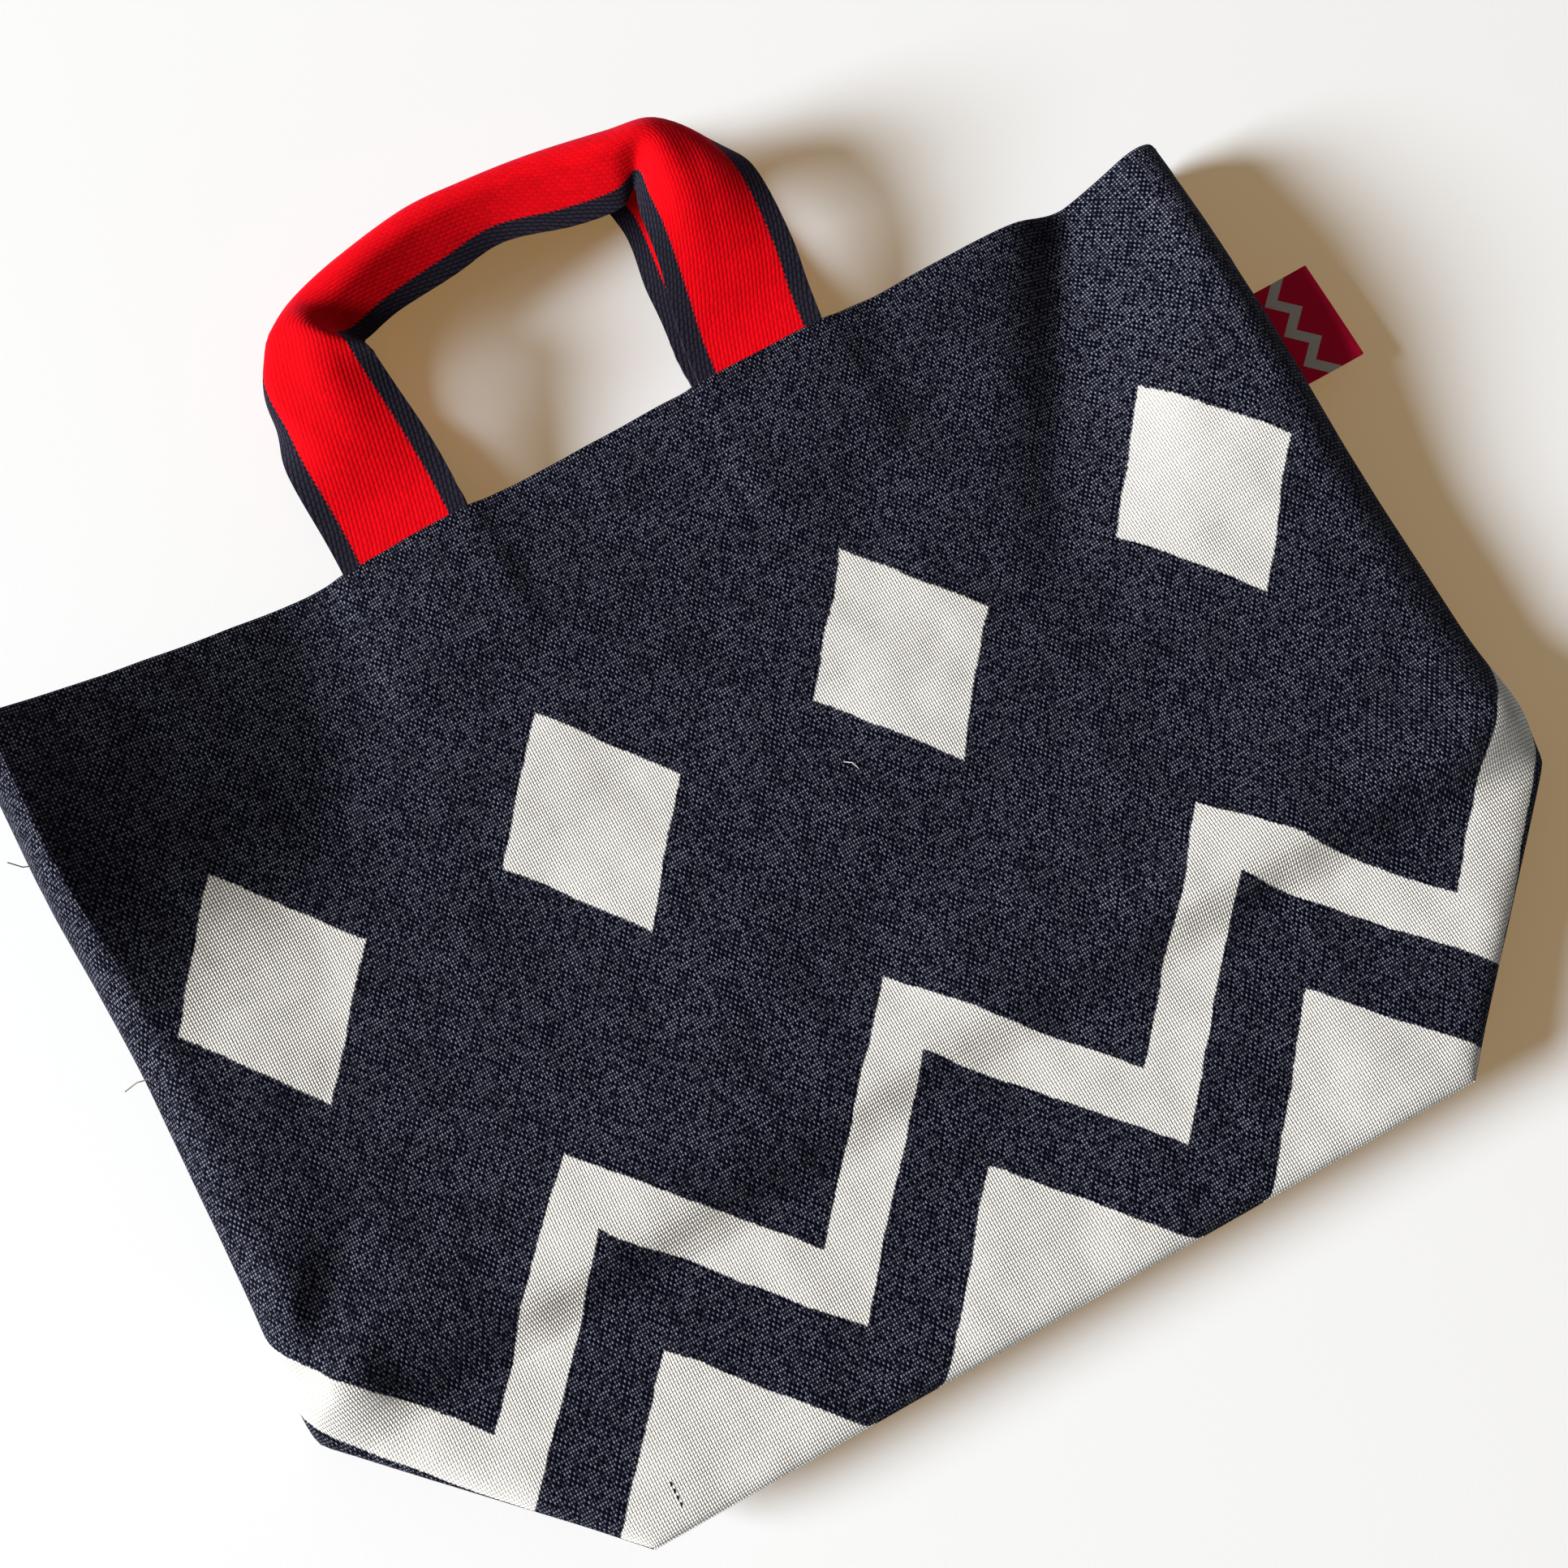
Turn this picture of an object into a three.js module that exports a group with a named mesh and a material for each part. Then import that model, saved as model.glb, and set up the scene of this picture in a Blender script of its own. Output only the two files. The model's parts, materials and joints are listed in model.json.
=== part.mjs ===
// A canvas tote bag with a boxed base, lying on its back with the base tucked in.
// Millimetres. X runs along the mouth, Y from the base to the mouth, Z up through the front panel.
// The origin is the middle of the back panel's outer face, which lies on the table.

import * as THREE from 'three';

// Shell
const BASE_LENGTH = 232;        // base panel along X
const BASE_DEPTH = 124;         // base panel from front to back when it is opened flat
const BODY_HEIGHT = 258;        // base edge to mouth
const CANVAS = 1.2;             // thickness of the heavy canvas
const CLEAR_HEIGHT = 16;        // inside height of the bag as it lies folded

// Slack of the front, as it lies
const BASE_SWELL = 2.5;         // front stands up behind the base edge
const BASE_ROLL = 6;            // from the base edge to the top of that swell
const BASE_SLOPE = 30;          // and from there down to the flat of the front
const RIDGE_RISE = 6.5;         // soft ridge above the line where the tucked-in base ends
const RIDGE_OFFSET = 14;        // from that line to the ridge
const RIDGE_SHOULDER = 12;      // from the ridge to its shoulder
const SHOULDER_RISE = 4.2;      // height of that shoulder
const RIDGE_SPREAD = 34;        // from the ridge to the flat of the front
const MOUTH_SWELL = 21;         // how far the left gusset stands out at the mouth
const LEFT_SWELL = 9;           // how far it stands out further down
const SWELL_DEPTH = 85;         // from the mouth to where the lower swell starts
const LEFT_ROLL = 9;            // from the crest of the left swell to the side seam
const LEFT_SHOULDER = 0.75;     // height of that roll's shoulder as a share of the swell
const RIGHT_SWELL = 6;          // the right gusset stands out less, clear of the label as it flips
const ROLL_SHOULDER = 3;        // from the shoulder of a roll to the side seam

// Mouth
const HEM_DEPTH = 40;           // facing turned in at the mouth
const FACING = 1.0;             // thickness of the facing
const FACING_INSET = 3;         // facing stops this far from the corner folds
const HEM_SETBACK = 0.6;        // turned-in layers stop this far below the mouth edge

// Seams
const SEAM_ALLOWANCE = 10;      // width of the bound seam allowances inside
const BINDING = 1.4;            // thickness of a bound seam allowance
const SEAM_EDGE_WIDTH = 1.9;    // sewn edge that stands out along each side seam
const SEAM_EDGE = 1.0;          // thickness of that edge
const BASE_SEAM_INSET = 3;      // base seam allowance stops this far from the base panel's end
const BASE_SEAM_START = 16;     // and starts this far from the base fold
const BASE_SEAM_END = 8;        // and ends this far from the middle fold

// Handles
const WEBBING_WIDTH = 38;
const WEBBING = 2.0;            // thickness
const HANDLE_SPACING = 109;     // between the middles of the two legs
const FRONT_REACH = 66;         // hem to the middle of the front grip
const REAR_REACH = 74;          // hem to the middle of the rear grip, which lies flatter
const HANDLE_CORNER = 27;       // bend of the webbing's middle line in plan
const HANDLE_TUCK = 36;         // sewn in behind the hem
const FRONT_RISE = 11;          // how far the front grip stands above the hem
const FRONT_LEAN = 48;          // degrees that the front grip leans back on its edge
const REAR_RISE = 4;            // how far the rear grip stands above the hem
const REAR_LEAN = 12;           // degrees that the rear grip leans back on its edge
const HANDLE_STEPS = 44;

// Label
const TAG_LENGTH = 30;          // along the seam
const TAG_WIDTH = 20;           // out of the seam
const TAG_THICKNESS = 1.0;
const TAG_FROM_MOUTH = 47;

// Clearances
const GAP = 0.3;                // between pieces that lie on each other
const FOLD_GAP = 1.8;           // kept from the line of a sharp fold
const SEAM_GAP = 0.9;           // kept from the line of a side seam
const TAG_GAP = 0.6;            // lets the label flip beside the sewn edge
const CORNER_GAP = 2;           // kept from the ends of the base panel

// Places worked out from the sizes
const halfBase = BASE_LENGTH / 2;
const halfDepth = BASE_DEPTH / 2;
const halfClear = CLEAR_HEIGHT / 2;
const baseY = -BODY_HEIGHT / 2;
const mouthY = BODY_HEIGHT / 2;
const backZ = CANVAS;
const frontZ = CANVAS + CLEAR_HEIGHT;
const middleZ = CANVAS + halfClear;
const restFold = Math.asin(halfClear / halfDepth);
const reach = halfDepth * Math.cos(restFold);
const seamX = halfBase + reach;
const pressedY = baseY + reach;
const ridgeY = pressedY + RIDGE_OFFSET;
const hemY = mouthY - HEM_DEPTH;
const gussetWidth = halfDepth - SEAM_GAP;

const canvasNavy = { color: 0x262a3c, roughness: 0.9, metalness: 0 };
const bindingNavy = { color: 0x1a1d2b, roughness: 0.85, metalness: 0 };
const webbingRed = { color: 0xdc0a1e, roughness: 0.6, metalness: 0 };
const tagRed = { color: 0xb80a26, roughness: 0.55, metalness: 0 };

const FACES = [
  { name: 'front', sign: 1, z: frontZ },
  { name: 'rear', sign: -1, z: backZ },
];
const SIDES = [
  {
    name: 'left',
    sign: -1,
    mouthSwell: MOUTH_SWELL,
    swell: LEFT_SWELL,
    roll: LEFT_ROLL,
    shoulder: LEFT_SHOULDER,
  },
  {
    name: 'right',
    sign: 1,
    mouthSwell: RIGHT_SWELL,
    swell: RIGHT_SWELL,
    roll: TAG_WIDTH,
    shoulder: ROLL_SHOULDER / TAG_WIDTH,
  },
];

const bag = new THREE.Group();

function addMesh(name, geometry, finish) {
  const mesh = new THREE.Mesh(geometry, new THREE.MeshStandardMaterial(finish));
  mesh.name = name;
  bag.add(mesh);
  return mesh;
}

// A flat piece of cloth: an outline in the frame's two directions, with its two faces at the given
// heights along the frame's outward side.
function addSheet(name, frame, outline, near, far, finish) {
  const shape = new THREE.Shape(outline.map(([along, across]) => new THREE.Vector2(along, across)));
  const geometry = new THREE.ExtrudeGeometry(shape, { depth: far - near, bevelEnabled: false });
  const third = new THREE.Vector3().crossVectors(frame.along, frame.across);
  const outward = third.dot(frame.outward) > 0;
  geometry.translate(0, 0, outward ? near : -far);
  const mesh = addMesh(name, geometry, finish);
  mesh.quaternion.setFromRotationMatrix(
    new THREE.Matrix4().makeBasis(frame.along, frame.across, third));
  mesh.position.copy(frame.origin);
}

// Cloth with relief: rows of places, each with its outer and inner point in the frame's three directions.
function addRelief(name, frame, rows, finish) {
  const positions = [];
  for (const place of rows.flat()) {
    for (const [along, across, height] of [place.outer, place.inner]) {
      const point = frame.origin.clone().addScaledVector(frame.along, along);
      point.addScaledVector(frame.across, across).addScaledVector(frame.outward, height);
      positions.push(point.x, point.y, point.z);
    }
  }
  const columns = rows[0].length;
  const corner = (row, column) => 2 * (row * columns + column);
  const quads = [];
  const rim = { low: [], right: [], top: [], left: [] };
  for (let row = 0; row < rows.length - 1; row += 1) {
    for (let column = 0; column < columns - 1; column += 1) {
      const [a, b] = [corner(row, column), corner(row, column + 1)];
      const [c, d] = [corner(row + 1, column + 1), corner(row + 1, column)];
      quads.push([a, b, c, d], [a + 1, d + 1, c + 1, b + 1]);
    }
    rim.right.push(corner(row, columns - 1));
    rim.left.unshift(corner(row + 1, 0));
  }
  for (let column = 0; column < columns - 1; column += 1) {
    rim.low.push(corner(0, column));
    rim.top.unshift(corner(rows.length - 1, column + 1));
  }
  const loop = [...rim.low, ...rim.right, ...rim.top, ...rim.left];
  loop.forEach((from, k) => {
    const to = loop[(k + 1) % loop.length];
    quads.push([from + 1, to + 1, to, from]);
  });
  const third = new THREE.Vector3().crossVectors(frame.along, frame.across);
  const outward = third.dot(frame.outward) > 0;
  const geometry = new THREE.BufferGeometry();
  geometry.setAttribute('position', new THREE.Float32BufferAttribute(positions, 3));
  geometry.setIndex(quads.flatMap(([a, b, c, d]) => (outward ? [a, b, c, a, c, d] : [a, c, b, a, d, c])));
  geometry.computeVertexNormals();
  addMesh(name, geometry, finish);
}

function rectangle(low, high, left, right) {
  return [[low, left], [high, left], [high, right], [low, right]];
}

// A frame lying flat, facing up or down, with its origin at the given height.
function flatFrame(z, sign) {
  return {
    origin: new THREE.Vector3(0, 0, z),
    along: new THREE.Vector3(1, 0, 0),
    across: new THREE.Vector3(0, 1, 0),
    outward: new THREE.Vector3(0, 0, sign),
  };
}

// Heights of the front's ridge above the flat, from where the base ends to the hem.
const RIDGE_PROFILE = [
  [pressedY, 0],
  [ridgeY, RIDGE_RISE],
  [ridgeY + RIDGE_SHOULDER, SHOULDER_RISE],
  [ridgeY + RIDGE_SPREAD, 0],
  [mouthY - SWELL_DEPTH, 0],
  [hemY, 0],
  [mouthY, 0],
];

// The back panel lies flat between the two corner folds.
function addBackPanel(face) {
  const half = halfBase - GAP;
  const outline = rectangle(-half, half, baseY, mouthY);
  addSheet('back_panel', flatFrame(face.z, face.sign), outline, 0, CANVAS, canvasNavy);
}

// The front panel swells over the edge of the base and has a soft ridge above the tucked-in base.
function addFrontPanel(face) {
  const half = halfBase - GAP;
  const swellY = baseY + BASE_ROLL;
  const profile = [[baseY, 0], [swellY, BASE_SWELL], [swellY + BASE_SLOPE, 0], ...RIDGE_PROFILE];
  const rows = profile.map(([y, rise]) => [-half, half].map((x) => (
    { outer: [x, y, rise + CANVAS], inner: [x, y, rise] })));
  addRelief('front_panel', flatFrame(face.z, face.sign), rows, canvasNavy);
}

// One half of the base panel, which is folded along its middle and pushed into the bag.
// It stays clear of the panel at its edge and of its other half at the middle fold.
function addBaseHalf(face) {
  const frame = {
    origin: new THREE.Vector3(0, baseY, face.z),
    along: new THREE.Vector3(0, Math.cos(restFold), -face.sign * Math.sin(restFold)),
    across: new THREE.Vector3(0, -Math.sin(restFold), -face.sign * Math.cos(restFold)),
  };
  frame.outward = new THREE.Vector3().crossVectors(frame.along, frame.across);
  const end = halfDepth - FOLD_GAP;
  const slope = CANVAS / (end - FOLD_GAP);
  const half = halfBase - CORNER_GAP;
  const section = [[FOLD_GAP, 0], [FOLD_GAP, CANVAS], [end, 0], [end, -CANVAS]];
  addSheet(`base_${face.name}_half`, frame, section, -half, half, canvasNavy);

  const inner = (along) => -slope * (along - FOLD_GAP) - GAP;
  const start = BASE_SEAM_START;
  const stop = halfDepth - BASE_SEAM_END;
  const strip = [
    [start, inner(start)], [stop, inner(stop)],
    [stop, inner(stop) - BINDING], [start, inner(start) - BINDING],
  ];
  for (const side of SIDES) {
    const outerEnd = halfBase - BASE_SEAM_INSET;
    const innerEnd = outerEnd - SEAM_ALLOWANCE;
    const facing = Math.sign(frame.outward.x) * side.sign;
    const near = facing > 0 ? innerEnd : -outerEnd;
    const far = facing > 0 ? outerEnd : -innerEnd;
    addSheet(`${face.name}_${side.name}_base_seam`, frame, strip, near, far, bindingNavy);
  }
}

// Half of a side gusset slopes from the corner fold to the side seam.
function gussetFrame(face, side) {
  return {
    origin: new THREE.Vector3(side.sign * halfBase, 0, face.z),
    along: new THREE.Vector3(side.sign * Math.cos(restFold), 0, -face.sign * Math.sin(restFold)),
    across: new THREE.Vector3(0, 1, 0),
    outward: new THREE.Vector3(side.sign * Math.sin(restFold), 0, face.sign * Math.cos(restFold)),
  };
}

// The gusset's slanting lower edge.
const slantY = (along) => baseY + along + FOLD_GAP;

// The hem inside a gusset, up to where its two halves would meet.
const hemWidth = halfDepth - (FACING + 2 * GAP) / Math.sin(restFold);

// The rear halves lie flat, each with a hem at the mouth.
function addRearGusset(face, side) {
  const frame = gussetFrame(face, side);
  const outline = [
    [GAP, slantY(GAP)], [gussetWidth, slantY(gussetWidth)], [gussetWidth, mouthY], [GAP, mouthY],
  ];
  addSheet(`${face.name}_${side.name}_gusset`, frame, outline, 0, CANVAS, canvasNavy);
  const hem = rectangle(CORNER_GAP, hemWidth, hemY, mouthY - HEM_SETBACK);
  addSheet(`${face.name}_${side.name}_hem`, frame, hem, -GAP - FACING, -GAP, canvasNavy);
}

// The front halves swell from the corner fold to a crest and roll down to the seam. The ridge of the
// front panel runs out in them, and their hems follow the swell.
function addFrontGusset(face, side) {
  const frame = gussetFrame(face, side);
  const crest = gussetWidth - side.roll;
  const steepness = Math.atan2(side.shoulder * side.mouthSwell, ROLL_SHOULDER);
  const wall = CANVAS * Math.sin(steepness);
  const columns = [
    { along: GAP, swell: 0, ridge: 1, wall: 0 },
    { along: crest, swell: 1, ridge: 1, wall: 0 },
    { along: gussetWidth - ROLL_SHOULDER, swell: side.shoulder, ridge: side.shoulder, wall },
    { along: gussetWidth, swell: 0, ridge: 0, wall },
  ];
  const place = (column, y, rise) => (
    { outer: [column.along, y, rise + CANVAS], inner: [column.along - column.wall, y, rise] });
  const rows = RIDGE_PROFILE.map(([y, ridge]) => columns.map((column) => {
    const swell = y < hemY ? side.swell : side.mouthSwell;
    const rise = column.swell * swell + column.ridge * ridge;
    return place(column, Math.max(y, slantY(column.along) + FOLD_GAP), rise);
  }));
  rows.unshift(columns.map((column) => place(column, slantY(column.along), 0)));
  addRelief(`${face.name}_${side.name}_gusset`, frame, rows, canvasNavy);

  const share = (along) => Math.min((along - GAP) / (crest - GAP), (gussetWidth - along) / side.roll);
  const stops = [CORNER_GAP, crest, hemWidth].filter((along) => along <= hemWidth);
  const hem = [hemY, mouthY - HEM_SETBACK].map((y) => stops.map((along) => {
    const rise = side.mouthSwell * share(along) - GAP;
    return { outer: [along, y, rise], inner: [along, y, rise - FACING] };
  }));
  addRelief(`${face.name}_${side.name}_hem`, frame, hem, canvasNavy);
}

// The corner triangle below the gusset, folded inside along the slanting edge of the flat bag.
function addCorner(face, side) {
  const gusset = gussetFrame(face, side);
  const fold = Math.PI - Math.asin(Math.SQRT2 * halfClear * Math.cos(restFold) / halfDepth);
  const crease = gusset.along.clone().add(gusset.across).normalize();
  const unfolded = gusset.along.clone().sub(gusset.across).normalize();
  const frame = {
    origin: new THREE.Vector3(side.sign * halfBase, baseY, face.z),
    along: crease,
    across: unfolded.clone().multiplyScalar(Math.cos(fold)).addScaledVector(gusset.outward, -Math.sin(fold)),
    outward: gusset.outward.clone().multiplyScalar(Math.cos(fold)).addScaledVector(unfolded, Math.sin(fold)),
  };
  const groove = (CANVAS + GAP) / Math.sin(restFold);
  const low = FOLD_GAP;
  const hypotenuse = halfDepth * Math.SQRT2;
  const left = low + CORNER_GAP * Math.SQRT2;
  const right = hypotenuse - low - groove * Math.SQRT2;
  const top = (right - left) / 2;
  addSheet(`${face.name}_${side.name}_corner`, frame,
    [[left, low], [right, low], [left + top, low + top]], 0, CANVAS, canvasNavy);
}

// Facing sewn inside the mouth, over the sewn-in ends of the webbing.
function addMouth(face) {
  const frame = flatFrame(face.z, face.sign);
  const half = halfBase - FACING_INSET;
  const webbingTop = -GAP - WEBBING;
  addSheet(`${face.name}_facing`, frame, rectangle(-half, half, hemY, mouthY - HEM_SETBACK),
    webbingTop - GAP - FACING, webbingTop - GAP, canvasNavy);
  for (const side of SIDES) {
    const middle = side.sign * HANDLE_SPACING / 2;
    const outline = rectangle(middle - WEBBING_WIDTH / 2, middle + WEBBING_WIDTH / 2,
      mouthY - HANDLE_TUCK, mouthY);
    addSheet(`${face.name}_handle_${side.name}_end`, frame, outline, webbingTop, -GAP, webbingRed);
  }
}

// A band of webbing through cross-sections, each with a middle, a width direction and a normal.
function bandGeometry(sections, width, thickness) {
  const corners = [[-1, -1], [-1, 1], [1, 1], [1, -1]];
  const positions = [];
  for (const { middle, across, normal } of sections) {
    for (const [a, n] of corners) {
      const point = middle.clone().addScaledVector(across, a * width / 2);
      point.addScaledVector(normal, n * thickness / 2);
      positions.push(point.x, point.y, point.z);
    }
  }
  const count = corners.length;
  const last = (sections.length - 1) * count;
  const faces = [0, 2, 1, 0, 3, 2, last, last + 1, last + 2, last, last + 2, last + 3];
  for (let ring = 0; ring < last; ring += count) {
    for (let k = 0; k < count; k += 1) {
      const next = (k + 1) % count;
      faces.push(ring + k, ring + next, ring + count + next);
      faces.push(ring + k, ring + count + next, ring + count + k);
    }
  }
  const geometry = new THREE.BufferGeometry();
  geometry.setAttribute('position', new THREE.Float32BufferAttribute(positions, 3));
  geometry.setIndex(faces);
  geometry.computeVertexNormals();
  return geometry;
}

// The free loop of a handle: two legs and a grip that leans back on its inner edge.
function addHandle(face, gripY, rise, lean) {
  const half = HANDLE_SPACING / 2;
  const bend = gripY - HANDLE_CORNER;
  const plan = new THREE.Path();
  plan.moveTo(-half, 0);
  plan.lineTo(-half, bend);
  plan.absarc(-half + HANDLE_CORNER, bend, HANDLE_CORNER, Math.PI, Math.PI / 2, true);
  plan.lineTo(half - HANDLE_CORNER, gripY);
  plan.absarc(half - HANDLE_CORNER, bend, HANDLE_CORNER, Math.PI / 2, 0, true);
  plan.lineTo(half, 0);
  const startZ = face.z - face.sign * (GAP + WEBBING / 2);
  const sections = [];
  for (let step = 0; step <= HANDLE_STEPS; step += 1) {
    const at = plan.getPointAt(step / HANDLE_STEPS);
    const tangent = plan.getTangentAt(step / HANDLE_STEPS);
    const lift = THREE.MathUtils.smoothstep(at.y, 0, gripY);
    const tilt = lean * THREE.MathUtils.DEG2RAD * THREE.MathUtils.smoothstep(at.y, bend / 2, gripY);
    const inward = new THREE.Vector3(tangent.y, -tangent.x, 0);
    const up = new THREE.Vector3(0, 0, 1);
    const across = inward.clone().multiplyScalar(Math.cos(tilt)).addScaledVector(up, -Math.sin(tilt));
    const normal = up.clone().multiplyScalar(Math.cos(tilt)).addScaledVector(inward, Math.sin(tilt));
    const middle = new THREE.Vector3(at.x, mouthY + GAP + at.y, startZ + rise * lift);
    sections.push({ middle, across, normal });
  }
  addMesh(`${face.name}_handle`, bandGeometry(sections, WEBBING_WIDTH, WEBBING), webbingRed);
}

// A side seam: its sewn edge outside, its bound allowance inside.
function addSideSeam(side) {
  const start = (BINDING / 2 + GAP) / Math.sin(restFold);
  const frame = flatFrame(middleZ, 1);
  const seam = (out) => side.sign * (seamX + out);
  const lowY = baseY + halfDepth + CORNER_GAP;
  const edge = rectangle(seam(-SEAM_GAP / 2), seam(SEAM_EDGE_WIDTH - SEAM_GAP / 2), lowY, mouthY);
  addSheet(`${side.name}_side_seam`, frame, edge, -SEAM_EDGE / 2, SEAM_EDGE / 2, canvasNavy);
  const binding = rectangle(seam(-start - SEAM_ALLOWANCE), seam(-start), lowY, hemY - CORNER_GAP);
  addSheet(`${side.name}_seam_binding`, frame, binding, -BINDING / 2, BINDING / 2, bindingNavy);
}

// The folded label sewn into the right side seam.
function addTag() {
  const start = seamX - SEAM_GAP / 2 + SEAM_EDGE_WIDTH + TAG_GAP;
  const top = mouthY - TAG_FROM_MOUTH;
  const outline = rectangle(start, start + TAG_WIDTH, top - TAG_LENGTH, top);
  addSheet('side_tag', flatFrame(middleZ, 1), outline, -TAG_THICKNESS / 2, TAG_THICKNESS / 2, tagRed);
}

const [frontFace, rearFace] = FACES;
addFrontPanel(frontFace);
addBackPanel(rearFace);
for (const face of FACES) {
  addBaseHalf(face);
  addMouth(face);
  for (const side of SIDES) {
    addCorner(face, side);
  }
}
for (const side of SIDES) {
  addFrontGusset(frontFace, side);
  addRearGusset(rearFace, side);
  addSideSeam(side);
}
addHandle(frontFace, FRONT_REACH, FRONT_RISE, FRONT_LEAN);
addHandle(rearFace, REAR_REACH, REAR_RISE, REAR_LEAN);
addTag();

export default bag;
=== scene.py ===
"""Looks of a heavy canvas tote bag that lies on its back with its base tucked in.

Shapes are worked out in millimetres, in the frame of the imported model, and written to meshes in metres.
X runs along the mouth, Y from the base to the mouth, Z up through the front of the bag.
"""

import json
import logging
import math
from dataclasses import dataclass
from enum import Enum
from functools import cached_property
from typing import Callable

import bmesh
import bpy
from mathutils import Matrix, Vector, noise


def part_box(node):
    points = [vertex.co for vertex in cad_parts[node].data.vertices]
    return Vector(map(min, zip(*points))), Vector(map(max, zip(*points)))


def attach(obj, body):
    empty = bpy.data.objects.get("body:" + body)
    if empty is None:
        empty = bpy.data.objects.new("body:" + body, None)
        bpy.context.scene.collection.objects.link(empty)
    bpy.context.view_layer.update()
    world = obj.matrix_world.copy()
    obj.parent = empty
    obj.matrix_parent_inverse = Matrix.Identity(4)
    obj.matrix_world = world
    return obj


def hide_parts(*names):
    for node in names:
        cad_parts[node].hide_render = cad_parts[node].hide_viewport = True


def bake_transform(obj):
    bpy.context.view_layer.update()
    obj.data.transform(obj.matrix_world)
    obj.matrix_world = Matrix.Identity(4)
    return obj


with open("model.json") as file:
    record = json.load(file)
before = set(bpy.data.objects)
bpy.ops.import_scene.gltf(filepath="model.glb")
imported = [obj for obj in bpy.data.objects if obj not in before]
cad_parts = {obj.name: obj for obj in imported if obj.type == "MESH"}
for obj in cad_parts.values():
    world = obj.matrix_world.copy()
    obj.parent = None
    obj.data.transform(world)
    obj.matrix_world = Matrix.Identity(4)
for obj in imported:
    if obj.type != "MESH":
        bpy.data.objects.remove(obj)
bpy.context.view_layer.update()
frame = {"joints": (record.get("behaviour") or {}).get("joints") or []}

LOG = logging.getLogger("tote_bag")

MM = 0.001
FLAT = "flat"  # attribute that holds each point's place on the cloth before it was folded
SHARP_ANGLE = math.radians(50)

Point = tuple[float, float, float]
Plan = tuple[float, float]
Rgb = tuple[float, float, float]
Placing = Callable[[float, float], Point]
Laying = Callable[[float, float], Plan]
Socket = bpy.types.NodeSocket


class Face(Enum):
    """The two broad faces of the bag, with the way each one looks along Z."""

    FRONT = 1
    REAR = -1

    @property
    def key(self) -> str:
        """The face's word in the names of nodes and pieces."""
        return self.name.lower()

    @property
    def body(self) -> str:
        """The body that moves the face's panel."""
        return "front" if self is Face.FRONT else "back"


class Side(Enum):
    """The two sides of the bag, with the way each one lies along X."""

    LEFT = -1
    RIGHT = 1

    @property
    def key(self) -> str:
        """The side's word in the names of nodes and pieces."""
        return self.name.lower()


def half_name(face: Face, side: Side) -> str:
    """The start of the names of one half of a face."""
    return f"{face.key}_{side.key}"


def box_in_mm(node: str) -> tuple[Vector, Vector]:
    """A solid's low and high corners in millimetres."""
    low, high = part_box(node)
    return low / MM, high / MM


def unit(value: float) -> float:
    """A value held between 0 and 1."""
    return min(1.0, max(0.0, value))


def between(low: float, high: float, share: float) -> float:
    """The value at a share of the way from low to high."""
    return low + (high - low) * share


def ease(value: float, low: float, high: float) -> float:
    """A soft step from 0 at low to 1 at high."""
    share = unit((value - low) / (high - low))
    return share * share * (3 - 2 * share)


def stretch(share: float, stops: list[Plan]) -> float:
    """Follows straight pieces through the stops.

    Args:
        share: place along the way, from the first stop's share to the last one's.
        stops: pairs of share and value, in rising order.

    Returns:
        The value at that share.
    """
    for (low, start), (high, end) in zip(stops, stops[1:]):
        if share <= high:
            return start + (end - start) * (share - low) / (high - low)
    return stops[-1][1]


def soft_noise(x: float, y: float, wavelength: float, seed: float) -> float:
    """Smooth noise from -1 to 1 with the given wavelength in millimetres."""
    return noise.noise(Vector((x / wavelength, y / wavelength, seed)))


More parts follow.
